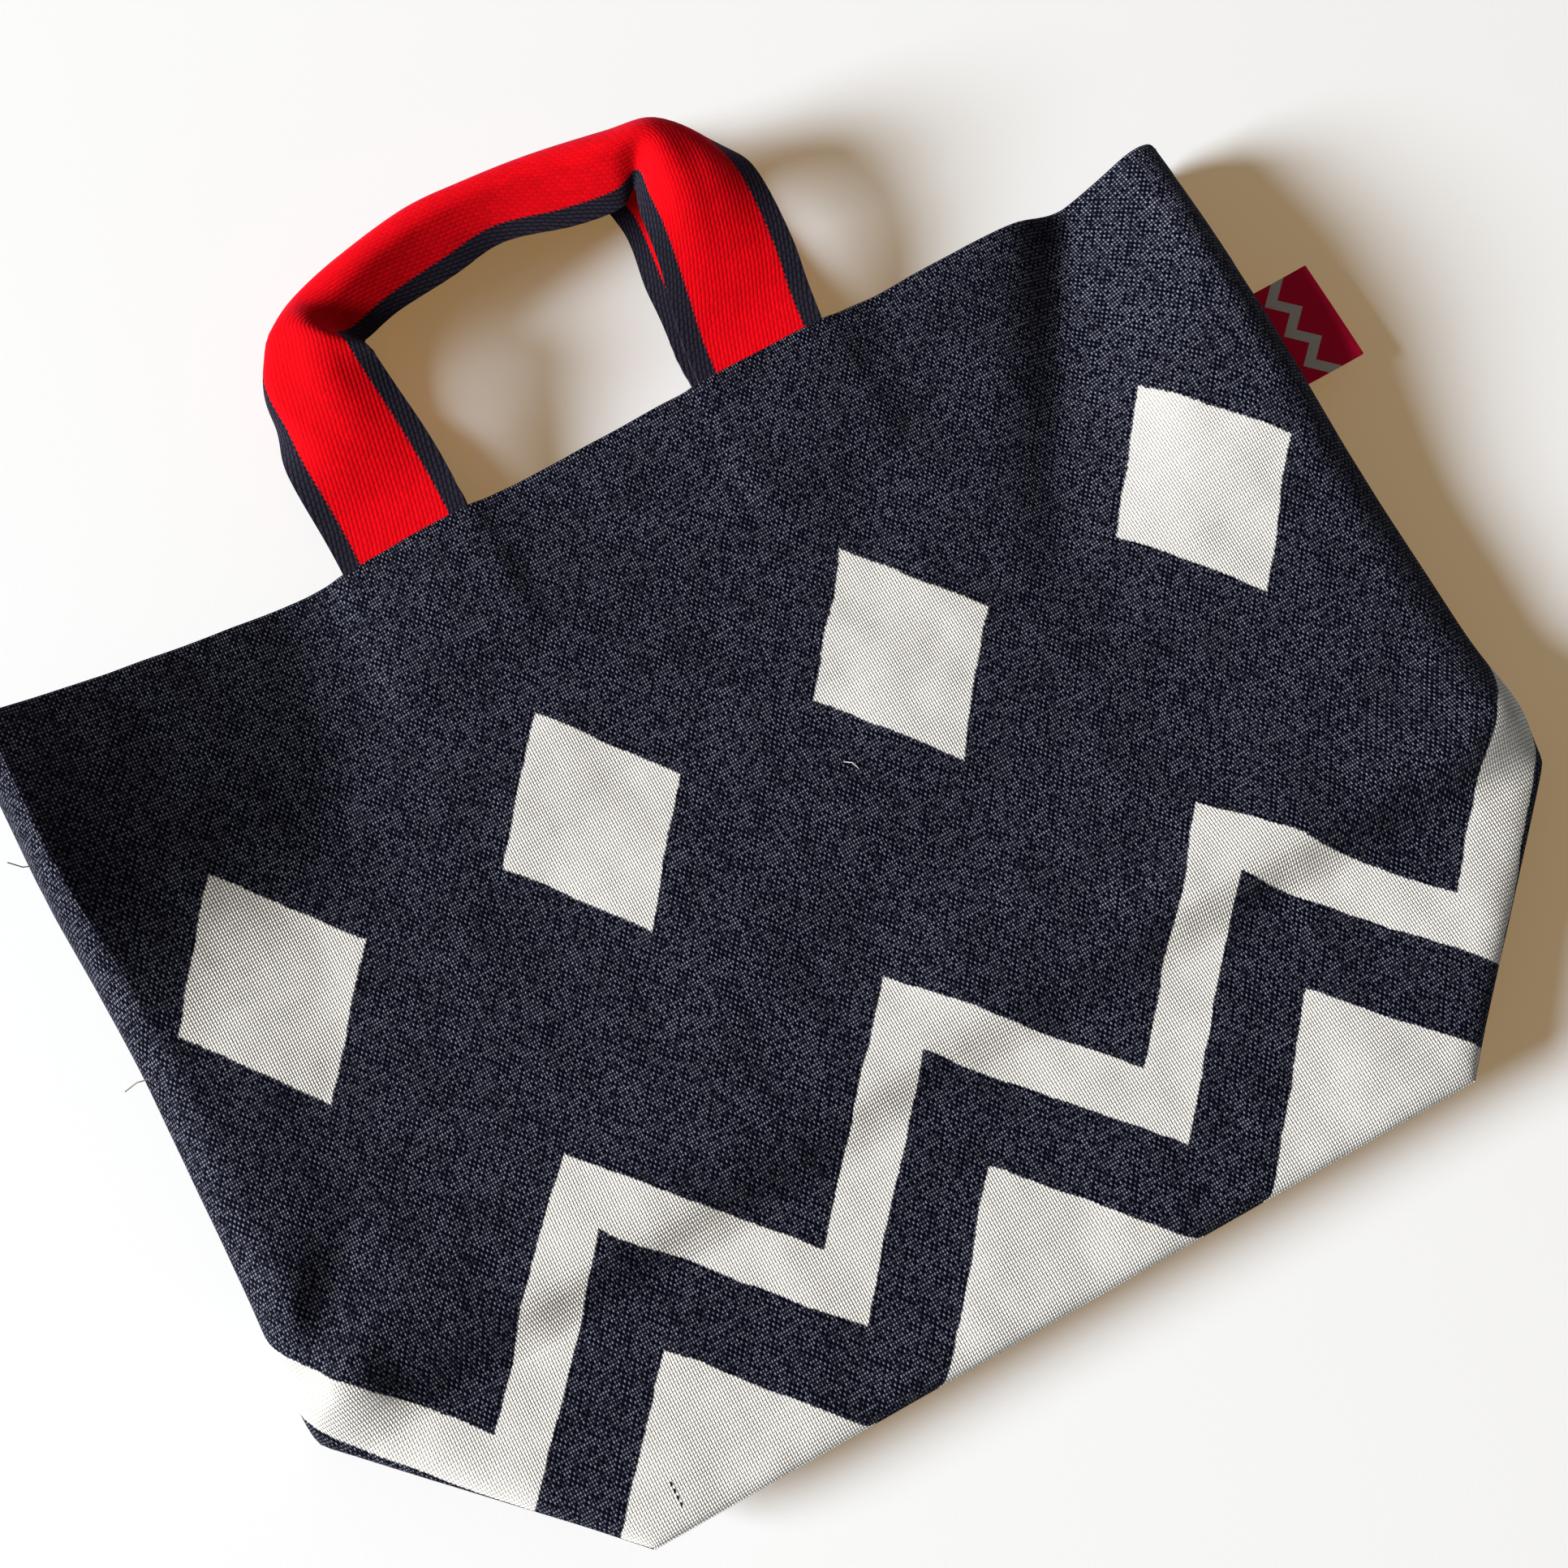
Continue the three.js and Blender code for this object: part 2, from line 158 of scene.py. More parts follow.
@dataclass(frozen=True)
class Folds:
    """The lines along which the cloth folds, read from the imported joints."""

    half_base: float
    base_y: float
    mouth_y: float
    seam_x: float
    corner_y: float
    front_z: float
    middle_z: float
    back_z: float

    @classmethod
    def from_frame(cls) -> "Folds":
        """Reads the fold lines.

        Returns:
            The folds in millimetres.
        """
        at = {joint["name"]: [value / MM for value in joint["pos_m"]] for joint in frame["joints"]}
        return cls(
            half_base=at["front_right_gusset_fold"][0],
            base_y=at["bag_open"][1],
            mouth_y=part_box("front_panel")[1].y / MM,
            seam_x=at["right_seam_turn"][0],
            corner_y=at["base_middle_fold"][1],
            front_z=at["front_base_fold"][2],
            middle_z=at["right_seam_turn"][2],
            back_z=at["bag_open"][2],
        )

    @property
    def height(self) -> float:
        """Length of a face from the base edge to the mouth."""
        return self.mouth_y - self.base_y

    @property
    def base_depth(self) -> float:
        """How far a half of the base reaches into the bag."""
        return self.corner_y - self.base_y

    def panel_z(self, face: Face) -> float:
        """Height of the lines that a face's gussets fold along."""
        return self.front_z if face is Face.FRONT else self.back_z

    def half_width(self, y: float) -> float:
        """Half the folded bag's width at a height."""
        return min(self.seam_x, self.half_base + y - self.base_y)

    def edge_z(self, face: Face, y: float) -> float:
        """Height of the fold that a face's outline lies on."""
        return between(self.panel_z(face), self.middle_z, unit((y - self.base_y) / self.base_depth))

    def edge_distance(self, x: float, y: float) -> float:
        """Distance to the outline, without the mouth, rounded where two edges meet.

        Args:
            x: place across the bag.
            y: place from the base to the mouth.

        Returns:
            The distance, or 0 outside.
        """
        to_seam = max(0.0, self.seam_x - abs(x))
        to_slant = max(0.0, (self.half_base + y - self.base_y - abs(x)) / math.sqrt(2))
        to_base = max(0.0, y - self.base_y)
        side = to_seam + to_slant - math.hypot(to_seam, to_slant)
        return side + to_base - math.hypot(side, to_base)

    def outward(self, x: float, y: float) -> Plan:
        """Plan direction out of the nearest part of the outline.

        Args:
            x: place across the bag.
            y: place from the base to the mouth.

        Returns:
            The direction, of length 1.
        """
        step = 0.5
        slope_x = self.edge_distance(x + step, y) - self.edge_distance(x - step, y)
        slope_y = self.edge_distance(x, y + step) - self.edge_distance(x, y - step)
        length = math.hypot(slope_x, slope_y) or 1.0
        return -slope_x / length, -slope_y / length


@dataclass(frozen=True)
class Crease:
    """A soft line that is raised from the cloth, or pressed into it, in millimetres."""

    start: Plan
    end: Plan
    rise: float
    end_rise: float
    left: float   # reach on the left of the way from start to end
    right: float

    def at(self, x: float, y: float) -> float:
        """Height that the crease adds at a point.

        Args:
            x: place across the bag.
            y: place from the base to the mouth.

        Returns:
            The height, below 0 where the crease is pressed in.
        """
        run = Vector(self.end) - Vector(self.start)
        offset = Vector((x, y)) - Vector(self.start)
        share = unit(offset.dot(run) / run.length_squared)
        reach = self.left if run.cross(offset) > 0 else self.right
        distance = (offset - run * share).length / reach
        return between(self.rise, self.end_rise, share) * math.exp(-distance * distance)


FRONT_CREASES = (
    Crease((159, 146), (86, 20), -10.5, 0.0, 26, 10),
    Crease((-80, 140), (-110, 40), -3.8, 0.0, 24, 12),
    Crease((-172, -52), (-142, -18), -2.6, -1.0, 5, 7),
    Crease((-164, -58), (-124, -40), 2.2, 0.8, 6, 7),
    Crease((-150, -64), (-112, -76), -2.0, -0.6, 5, 5),
    Crease((-170, -38), (-150, -2), 2.0, 0.6, 7, 6),
    Crease((-158, -20), (-128, 20), -1.2, -0.6, 9, 7),
    Crease((150, -58), (176, -52), 1.8, 2.2, 7, 7),
    Crease((132, -40), (172, -30), -1.4, -1.8, 9, 9),
    Crease((-60, -34), (-10, -22), 1.3, 0.8, 13, 9),
    Crease((20, -36), (80, -24), 1.2, 1.4, 12, 9),
    Crease((-30, -16), (34, 8), 1.0, 0.8, 16, 14),
    Crease((-70, 18), (-24, 48), -1.0, -0.8, 14, 14),
    Crease((40, 30), (84, 12), 1.2, 0.8, 15, 12),
    Crease((10, 66), (60, 80), -0.9, -0.9, 12, 10),
    Crease((-20, 128), (6, 70), -1.2, -0.5, 16, 12),
    Crease((90, 128), (84, 84), -1.6, -0.6, 12, 7),
)

# Size, wavelength and seed of each layer of unevenness in the much-handled cloth.
MOTTLE = ((0.8, 28, 3.1), (0.5, 12, 7.7), (0.16, 6, 9.2))


@dataclass(frozen=True)
class Patch:
    """A raised rectangle with soft edges, where a layer lies behind the cloth."""

    low: Plan
    high: Plan
    soft: float
    rise: float

    def at(self, x: float, y: float) -> float:
        """Height that the patch adds at a point."""
        inside = [
            ease(value, low - self.soft, low) * ease(-value, -high - self.soft, -high)
            for value, low, high in zip((x, y), self.low, self.high)
        ]
        return self.rise * inside[0] * inside[1]


@dataclass(frozen=True)
class Flank:
    """How one side of the slack front stands up towards its edge, in millimetres."""

    start: float    # from the middle, where the rise begins at the mouth
    slant: float    # how much further out it begins for each millimetre below the mouth
    nearest: float  # the least distance from the middle at which it begins
    short: float    # how far inside the outline it is complete
    rise: float
    curl: float     # how much of the rise lies close to the edge
    least: float    # share of the rise low on the side
    growth: Plan    # heights between which that share grows to the whole

    def lift(self, distance: float, y: float, folds: Folds) -> float:
        """Height that the side adds.

        Args:
            distance: from the middle of the bag.
            y: place from the base to the mouth.
            folds: the bag's fold lines.

        Returns:
            The height, 0 nearer to the middle than the start.
        """
        start = max(self.nearest, self.start + self.slant * (folds.mouth_y - y))
        reach = folds.half_width(y) - self.short - start
        if reach <= 0 or distance < start:
            return 0.0
        share = min(1.0, (distance - start) / reach)
        return self.rise * between(self.least, 1, ease(y, *self.growth)) * share ** self.curl


@dataclass(frozen=True)
class Relief:
    """Heights of the cloth's outer faces as the bag lies slack on a table, in millimetres."""

    folds: Folds
    basin: float = 18.0                  # middle of the front
    base_cover: float = 4.2              # cloth over the tucked-in base, at its edge
    base_slack: float = 2.6              # and how much more it stands off where the base ends
    pressed_shift: float = 6.0           # the line where the base ends runs this much lower on the left
    pressed_turn: Plan = (-30.0, 80.0)   # left of the middle, where that shift begins and ends
    pressed_fade: float = 22.0           # how soon the line is lost towards the mouth
    ridge_rise: float = 8.5              # soft ridge on the mouth side of that line, at the sides
    ridge_middle: float = 0.6            # its share of that in the middle
    ridge_spread: Plan = (20.0, 95.0)    # from the middle, where the share grows
    ridge_offset: float = 14.0
    ridge_width: float = 19.0
    ridge_foot: Plan = (-2.0, 12.0)      # past the line, where the ridge sets in
    mouth_rise: float = 1.2              # the hem stands above the middle
    mouth_least: float = 0.3             # its share of that away from the handles
    mouth_reach: float = 75.0
    mouth_past: float = 12.0
    strap_x: float = 54.5
    strap_reach: float = 38.0
    strap_mark: float = 1.4
    strap_soft: float = 6.0
    hem_step: float = 0.6
    hem_soft: float = 3.0
    hem_depth: float = 40.0
    mark_room: float = 20.0              # marks at the mouth reach past it
    mark_span: float = 400.0             # and the hem's mark past both sides
    left: Flank = Flank(92.0, 0.15, 0.0, 10.0, 28.0, 1.45, 0.16, (30.0, 92.0))
    right: Flank = Flank(150.0, -0.6, 100.0, 0.0, 17.0, 1.15, 0.25, (0.0, 90.0))
    flank_foot: Plan = (-20.0, 30.0)     # from the corners, where the sides begin to rise
    roll: float = 10.0                   # width of the rolled side edge
    roll_bulge: float = 1.8
    under_roll: float = 11.0             # width of the roll under the side edge
    base_roll: float = 5.0
    roll_foot: float = 10.0              # above the base edge, where the roll begins to widen
    roll_steps: int = 8

    @cached_property
    def marks(self) -> list[Patch]:
        """Marks of the sewn-in webbing and of the facing behind the front."""
        top = self.folds.mouth_y + self.mark_room
        made = []
        for side in Side:
            low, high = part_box(f"front_handle_{side.key}_end")
            corner = (low.x / MM, low.y / MM)
            made.append(Patch(corner, (high.x / MM, top), self.strap_soft, self.strap_mark))
        lip = self.folds.mouth_y - self.hem_depth
        made.append(Patch((-self.mark_span, lip), (self.mark_span, top), self.hem_soft, self.hem_step))
        return made

    def mouth_lift(self, x: float, y: float) -> float:
        """How far the front stands up at the mouth, most of all at the handles."""
        legs = sum(math.exp(-((x - side.value * self.strap_x) / self.strap_reach) ** 2) for side in Side)
        mouth_y = self.folds.mouth_y
        near = ease(y, mouth_y - self.mouth_reach, mouth_y + self.mouth_past)
        return self.mouth_rise * between(self.mouth_least, 1, legs) * near

    def ridge(self, x: float, past: float) -> float:
        """Height of the soft ridge at a distance past the line where the base ends."""
        hump = math.exp(-((past - self.ridge_offset) / self.ridge_width) ** 2) * ease(past, *self.ridge_foot)
        return self.ridge_rise * (hump * between(self.ridge_middle, 1, ease(abs(x), *self.ridge_spread)))

    def side_lift(self, x: float, y: float) -> float:
        """How far a side stands up above the middle of the front."""
        flank = self.left if x < 0 else self.right
        foot = ease(y, *(self.folds.corner_y + offset for offset in self.flank_foot))
        return flank.lift(abs(x), y, self.folds) * foot

    @staticmethod
    def mottle(x: float, y: float) -> float:
        """Small unevenness of a soft, much-handled cloth."""
        return sum(size * soft_noise(x, y, wavelength, seed) for size, wavelength, seed in MOTTLE)

    def front_level(self, x: float, y: float) -> float:
        """Height of the front before its outline is rolled over.

        Args:
            x: place across the bag.
            y: place from the base to the mouth.

        Returns:
            The height in millimetres.
        """
        folds = self.folds
        line = folds.corner_y - self.pressed_shift * ease(-x, *self.pressed_turn)
        past = y - line
        if past < 0:
            slack = self.base_slack * (y - folds.base_y) / (line - folds.base_y)
            level = folds.edge_z(Face.FRONT, y) + self.base_cover + slack
        else:
            pressed = folds.edge_z(Face.FRONT, line) + self.base_cover + self.base_slack
            dip = (pressed - self.basin) * math.exp(-past / self.pressed_fade)
            level = self.basin + self.mouth_lift(x, y) + dip + self.ridge(x, past)
        level += self.side_lift(x, y)
        level += sum(crease.at(x, y) for crease in FRONT_CREASES)
        level += sum(patch.at(x, y) for patch in self.marks)
        return level + self.mottle(x, y)

    def level(self, face: Face, x: float, y: float) -> float:
        """Height of a face before its outline is rolled over."""
        return self.front_level(x, y) if face is Face.FRONT else 0.0

    def roll_width(self, face: Face, y: float) -> float:
        """Width of the rolled edge in plan, narrower along the base."""
        side = self.roll if face is Face.FRONT else self.under_roll
        return between(self.base_roll, side, ease(y, self.folds.base_y + self.roll_foot, self.folds.corner_y))

    @staticmethod
    def roll_share(distance: float, width: float) -> float:
        """Height of a rolled edge at a distance from the outline, from 0 to 1."""
        return math.sqrt(max(0.0, 1 - (1 - distance / width) ** 2))

    def flat(self, face: Face, x: float, y: float) -> Plan:
        """Place of a point on the flat cloth, with the length that the rolled edge takes up.

        Args:
            face: the face that the point is on.
            x: place across the bag.
            y: place from the base to the mouth.

        Returns:
            The place in millimetres.
        """
        folds = self.folds
        distance = folds.edge_distance(x, y)
        width = self.roll_width(face, y)
        if distance >= width:
            return x, y
        drop = abs(self.level(face, x, y) - folds.edge_z(face, y))
        step = (width - distance) / self.roll_steps
        heights = [
            drop * self.roll_share(width - step * index, width) for index in range(self.roll_steps + 1)
        ]
        taken = sum(math.hypot(step, high - low) - step for high, low in zip(heights, heights[1:]))
        out = folds.outward(x, y)
        return x + out[0] * taken, y + out[1] * taken

    def point(self, face: Face, x: float, y: float) -> Point:
        """Place of a cloth point on a face's outer side.

        Args:
            face: the face that the point is on.
            x: place across the bag before the edge is rolled.
            y: place from the base to the mouth.

        Returns:
            The point in millimetres.
        """
        folds = self.folds
        distance = folds.edge_distance(x, y)
        level = self.level(face, x, y)
        width = self.roll_width(face, y)
        if distance >= width:
            return x, y, level
        share = self.roll_share(distance, width)
        bulge = self.roll_bulge * math.sin(math.pi * share) * ease(y, folds.base_y, folds.corner_y)
        out = folds.outward(x, y)
        return x + out[0] * bulge, y + out[1] * bulge, between(folds.edge_z(face, y), level, share)


class Graph:
    """Places and links shader nodes in one tree."""

    def __init__(self, tree: bpy.types.NodeTree) -> None:
        """Keeps the tree that nodes are added to."""
        self.tree = tree

    def node(self, kind: str, inputs: dict | None = None, **settings: object) -> bpy.types.Node:
        """Adds a node.

        Args:
            kind: the node's type name.
            inputs: values or sockets for its inputs, by name or place.
            settings: properties to set on the node.

        Returns:
            The new node.
        """
        made = self.tree.nodes.new(kind)
        for name, value in settings.items():
            setattr(made, name, value)
        for key, value in (inputs or {}).items():
            self.feed(made.inputs[key], value)
        return made

    def feed(self, socket: Socket, value: object) -> None:
        """Links a socket to an input, or sets the input's own value."""
        if isinstance(value, Socket):
            self.tree.links.new(value, socket)
        else:
            socket.default_value = value

    def group(self, tree: bpy.types.NodeTree, **inputs: object) -> bpy.types.bpy_prop_collection:
        """The outputs of a shader group; each input is named by its word in small letters."""
        values = {key.title(): value for key, value in inputs.items()}
        return self.node("ShaderNodeGroup", values, node_tree=tree).outputs

    def flat_place(self) -> Socket:
        """Each point's place on the flat cloth."""
        return self.node("ShaderNodeAttribute", attribute_name=FLAT).outputs["Vector"]

    def math(self, operation: str, *values: object) -> Socket:
        """The result of a Math node."""
        return self.node("ShaderNodeMath", dict(enumerate(values)), operation=operation).outputs[0]

    def plus(self, first: object, second: object) -> Socket:
        """The sum of two values."""
        return self.math("ADD", first, second)

    def minus(self, first: object, second: object) -> Socket:
        """The first value less the second."""
        return self.math("SUBTRACT", first, second)

    def times(self, first: object, second: object) -> Socket:
        """The product of two values."""
        return self.math("MULTIPLY", first, second)

    def divided(self, first: object, second: object) -> Socket:
        """The first value divided by the second."""
        return self.math("DIVIDE", first, second)

    def power(self, value: object, exponent: object) -> Socket:
        """A value to a power."""
        return self.math("POWER", value, exponent)

    def distance(self, first: object, second: object) -> Socket:
        """How far apart two values are."""
        return self.math("ABSOLUTE", self.minus(first, second))

    def arch(self, value: object) -> Socket:
        """One arch of a sine, from 0 over 1 to 0, for each whole step of a value."""
        return self.math("SINE", self.times(self.math("FRACT", value), math.pi))

    def step(self, value: object, limits: Plan, span: Plan = (0, 1)) -> Socket:
        """A smooth step of a value between two limits, over a span of results."""
        inputs = dict(enumerate((value, *limits, *span)))
        return self.node("ShaderNodeMapRange", inputs, interpolation_type="SMOOTHSTEP").outputs[0]

    def chosen(self, switch: object, off: object, on: object) -> Socket:
        """One of two values, by a switch of 0 or 1."""
        return self.node("ShaderNodeMix", {0: switch, 2: off, 3: on}).outputs[0]

    def mix(self, factor: object, first: object, second: object, blend: str = "MIX") -> Socket:
        """A mix of two colours."""
        made = self.node("ShaderNodeMix", data_type="RGBA", blend_type=blend)
        for key, value in ((0, factor), (6, first), (7, second)):
            self.feed(made.inputs[key], value)
        return made.outputs[2]

    def toned(self, colour: object, tone: Socket) -> Socket:
        """A colour made lighter or darker by a tone."""
        return self.mix(1.0, colour, self.joined(tone, tone, tone), "MULTIPLY")

    def noise(self, vector: object, scale: float, detail: float = 1.0) -> Socket:
        """A noise value about 0.5."""
        inputs = {"Vector": vector, "Scale": scale, "Detail": detail}
        return self.node("ShaderNodeTexNoise", inputs).outputs[0]

    def vector(self, operation: str, first: object, second: object) -> Socket:
        """The result of a Vector Math node."""
        return self.node("ShaderNodeVectorMath", {0: first, 1: second}, operation=operation).outputs[0]

    def parts(self, vector: object) -> tuple[Socket, Socket]:
        """The X and Y of a vector."""
        made = self.node("ShaderNodeSeparateXYZ", {0: vector})
        return made.outputs[0], made.outputs[1]

    def joined(self, x: object, y: object, z: object = 0.0) -> Socket:
        """A vector of three values."""
        return self.node("ShaderNodeCombineXYZ", {0: x, 1: y, 2: z}).outputs[0]

    def background_rays(self) -> Socket:
        """1 for what the camera sees directly, in a reflection or through glass, and 0 for other rays."""
        path = self.node("ShaderNodeLightPath").outputs
        seen = self.math("MAXIMUM", path["Is Camera Ray"], path["Is Glossy Ray"])
        return self.math("MAXIMUM", seen, path["Is Transmission Ray"])


def new_group(
    name: str, inputs: dict[str, float | None], outputs: tuple[str, ...],
) -> tuple[bpy.types.NodeTree, Graph, dict[str, Socket]]:
    """Starts a shader node group.

    Args:
        name: the group's name.
        inputs: default value of each input, by name; None makes a vector input.
        outputs: name of each output, all of them values.

    Returns:
        The group, a graph on it, and its input sockets by name.
    """
    group = bpy.data.node_groups.new(name, "ShaderNodeTree")
    for label, value in inputs.items():
        kind = "NodeSocketVector" if value is None else "NodeSocketFloat"
        socket = group.interface.new_socket(label, in_out="INPUT", socket_type=kind)
        if value is not None:
            socket.default_value = value
    for label in outputs:
        group.interface.new_socket(label, in_out="OUTPUT", socket_type="NodeSocketFloat")
    graph = Graph(group)
    sockets = graph.node("NodeGroupInput").outputs
    return group, graph, {label: sockets[label] for label in inputs}


class Yarns:
    """Shader groups for how the cloths are woven and dyed, built once and shared by the finishes."""

    sway_across: float = 0.35     # noise scale across and along a yarn that wanders
    sway_along: float = 0.05
    round_across: float = 0.8     # powers that shape a plain yarn's crown across and along itself
    round_along: float = 0.4
    warp_key: Plan = (7.31, 1.7)  # step from yarn to yarn and seed, so that each draws its own shade
    weft_key: Plan = (5.17, 4.3)
    shade_run: float = 0.06       # how fast the shade changes along a yarn
    chance_wear: float = 0.66     # share of a crown's painted highlight that is chance
    warp_wear: float = 0.34       # and the share that comes from lying in the warp
    rib_sway: Plan = (0.12, 0.7)  # noise scale and size of the wandering of a twill's ribs
    rib_shift: float = 0.77       # each rib's floats begin this much further on
    rib_round: float = 0.7
    float_round: float = 0.25
    float_key: Plan = (3.1, 1.9)
    paste_sway: Plan = (0.06, 2.4)    # noise scale and size of the wandering of the design's edges
    paste_fray: Plan = (0.9, 0.9)     # and of their fraying
    paste_edge: float = 0.25
    paste_run: float = 0.4            # how softly two areas of paste run together
    lozenge_scale: float = 16.0       # from a lozenge's share to millimetres

    def __init__(self) -> None:
        """Builds the groups."""
        self.plain = self.plain_weave()
        self.twill = self.webbing_twill()
        self.dye = self.resist_dye()

    def plain_weave(self) -> bpy.types.NodeTree:
        """Makes a plain weave of uneven yarns.

        Returns:
            A group with the height of the crowns, a shade for each yarn and the strength of each crown's
            painted highlight.
        """
        group, graph, source = new_group(
            "plain_weave",
            {"Place": None, "Warp": 0.74, "Weft": 0.95, "Wander": 0.3},
            ("Height", "Shade", "Speck"),
        )

        def wander(value: Socket, scale: Point) -> Socket:
            """A yarn's place, moved a little to either side along its run."""
            swayed = graph.noise(graph.vector("MULTIPLY", source["Place"], scale), 1.0, 2.0)
            return graph.plus(value, graph.times(graph.minus(swayed, 0.5), source["Wander"]))

        u, v = graph.parts(source["Place"])
        u = wander(u, (self.sway_across, self.sway_along, 0))
        v = wander(v, (self.sway_along, self.sway_across, 0))
        a = graph.divided(u, source["Warp"])
        b = graph.divided(v, source["Weft"])
        column = graph.math("FLOOR", a)
        row = graph.math("FLOOR", b)
        over = graph.math("FLOORED_MODULO", graph.plus(column, row), 2.0)
        crown_a, crown_b = graph.arch(a), graph.arch(b)
        warp = graph.times(graph.power(crown_a, self.round_across), graph.power(crown_b, self.round_along))
        weft = graph.times(graph.power(crown_b, self.round_across), graph.power(crown_a, self.round_along))
        step, seed = self.warp_key
        warp_key = graph.joined(graph.times(column, step), graph.times(v, self.shade_run), seed)
        step, seed = self.weft_key
        weft_key = graph.joined(graph.times(u, self.shade_run), graph.times(row, step), seed)
        shade = graph.chosen(over, graph.noise(weft_key, 1.0, 0.0), graph.noise(warp_key, 1.0, 0.0))
        cell = graph.joined(column, row)
        chance = graph.node("ShaderNodeTexWhiteNoise", {"Vector": cell}, noise_dimensions="2D").outputs[0]
        # Strength of each crown's painted highlight: partly chance, partly higher where the warp lies on top.
        speck = graph.plus(graph.times(chance, self.chance_wear), graph.times(over, self.warp_wear))
        height = graph.chosen(over, weft, warp)
        graph.node("NodeGroupOutput", {"Height": height, "Shade": shade, "Speck": speck})
        return group

    def webbing_twill(self) -> bpy.types.NodeTree:
        """Makes a twill: slanting ribs of short floats.

        Returns:
            A group with the height of the floats and a shade for each one.
        """
        group, graph, source = new_group(
            "webbing_twill",
            {"Place": None, "Pitch": 1.2, "Slant": 0.24, "Float": 2.2},
            ("Height", "Shade"),
        )
        u, v = graph.parts(source["Place"])
        scale, size = self.rib_sway
        sway = graph.times(graph.minus(graph.noise(source["Place"], scale, 1.0), 0.5), size)
        across = graph.plus(graph.plus(u, graph.times(v, source["Slant"])), sway)
        rib = graph.divided(across, source["Pitch"])
        number = graph.math("FLOOR", rib)
        run = graph.divided(graph.plus(v, graph.times(number, self.rib_shift)), source["Float"])
        crown = graph.power(graph.arch(rib), self.rib_round)
        height = graph.times(crown, graph.power(graph.arch(run), self.float_round))
        rib_step, run_step = self.float_key
        key = graph.joined(graph.times(number, rib_step), graph.times(graph.math("FLOOR", run), run_step))
        graph.node("NodeGroupOutput", {"Height": height, "Shade": graph.noise(key, 1.0, 0.0)})
        return group

    def resist_dye(self) -> bpy.types.NodeTree:
        """Makes the design: a row of peaks, a zigzag band over it and a row of lozenges.

        Returns:
            A group that is 1 where the paste kept the dye out.
        """
        group, graph, source = new_group(
            "resist_dye",
            {"Place": None, "Pitch": 92.0, "Foot": -141.0, "Peak": 52.0, "Lift": 29.0, "Band": 14.0,
             "End": -143.0, "Row": 38.0, "Lozenge Half Width": 26.0, "Lozenge Half Height": 33.0},
            ("Kept",),
        )
        scale, size = self.paste_sway
        inputs = {"Vector": source["Place"], "Scale": scale, "Detail": 2.0}
        sway = graph.node("ShaderNodeTexNoise", inputs).outputs[1]
        sway = graph.vector("MULTIPLY", graph.vector("SUBTRACT", sway, (0.5, 0.5, 0.5)), (size, size, 0))
        u, v = graph.parts(graph.vector("ADD", sway, source["Place"]))
        turn = graph.math("FRACT", graph.divided(u, source["Pitch"]))
        wave = graph.distance(graph.times(turn, 2.0), 1.0)
        above = graph.minus(graph.minus(v, source["Foot"]), graph.times(wave, source["Peak"]))
        slope = graph.divided(graph.times(source["Peak"], 2.0), source["Pitch"])
        level = graph.divided(above, graph.math("SQRT", graph.plus(graph.times(slope, slope), 1.0)))
        peaks = graph.math("MINIMUM", graph.times(level, -1.0), graph.minus(v, source["End"]))
        band = graph.minus(graph.times(source["Band"], 0.5), graph.distance(level, source["Lift"]))
        half_pitch = graph.times(source["Pitch"], 0.5)
        aside = graph.divided(graph.times(wave, half_pitch), source["Lozenge Half Width"])
        tall = graph.divided(graph.distance(v, source["Row"]), source["Lozenge Half Height"])
        lozenge = graph.times(graph.minus(1.0, graph.plus(aside, tall)), self.lozenge_scale)
        inside = graph.math("SMOOTH_MAX", graph.math("MAXIMUM", peaks, band), lozenge, self.paste_run)
        scale, size = self.paste_fray
        fray = graph.times(graph.minus(graph.noise(source["Place"], scale, 2.0), 0.5), size)
        kept = graph.step(graph.plus(inside, fray), (-self.paste_edge, self.paste_edge))
        graph.node("NodeGroupOutput", {"Kept": kept})
        return group


def opaque(colour: Rgb) -> tuple[float, float, float, float]:
    """A colour with full alpha."""
    return (*colour, 1.0)


def new_material(name: str, roughness: float) -> tuple[bpy.types.Material, Graph, bpy.types.Node]:
    """Starts a material for dull cloth.

    Args:
        name: the material's name.
        roughness: roughness all over the surface.

    Returns:
        The material, a graph on its tree, and its shader.
    """
    material = bpy.data.materials.new(name)
    material.use_nodes = True
    shader = material.node_tree.nodes["Principled BSDF"]
    shader.inputs["Roughness"].default_value = roughness
    shader.inputs["Specular IOR Level"].default_value = 0.05
    return material, Graph(material.node_tree), shader


def add_bump(graph: Graph, shader: bpy.types.Node, height: Socket, bump: Plan) -> None:
    """Feeds a height to a shader's normal.

    Args:
        graph: the material's graph.
        shader: the material's shader.
        height: from 0 to 1.
        bump: depth in millimetres, and strength.
    """
    depth, strength = bump
    made = graph.node("ShaderNodeBump", {"Height": height, "Distance": depth * MM, "Strength": strength})
    graph.feed(shader.inputs["Normal"], made.outputs[0])


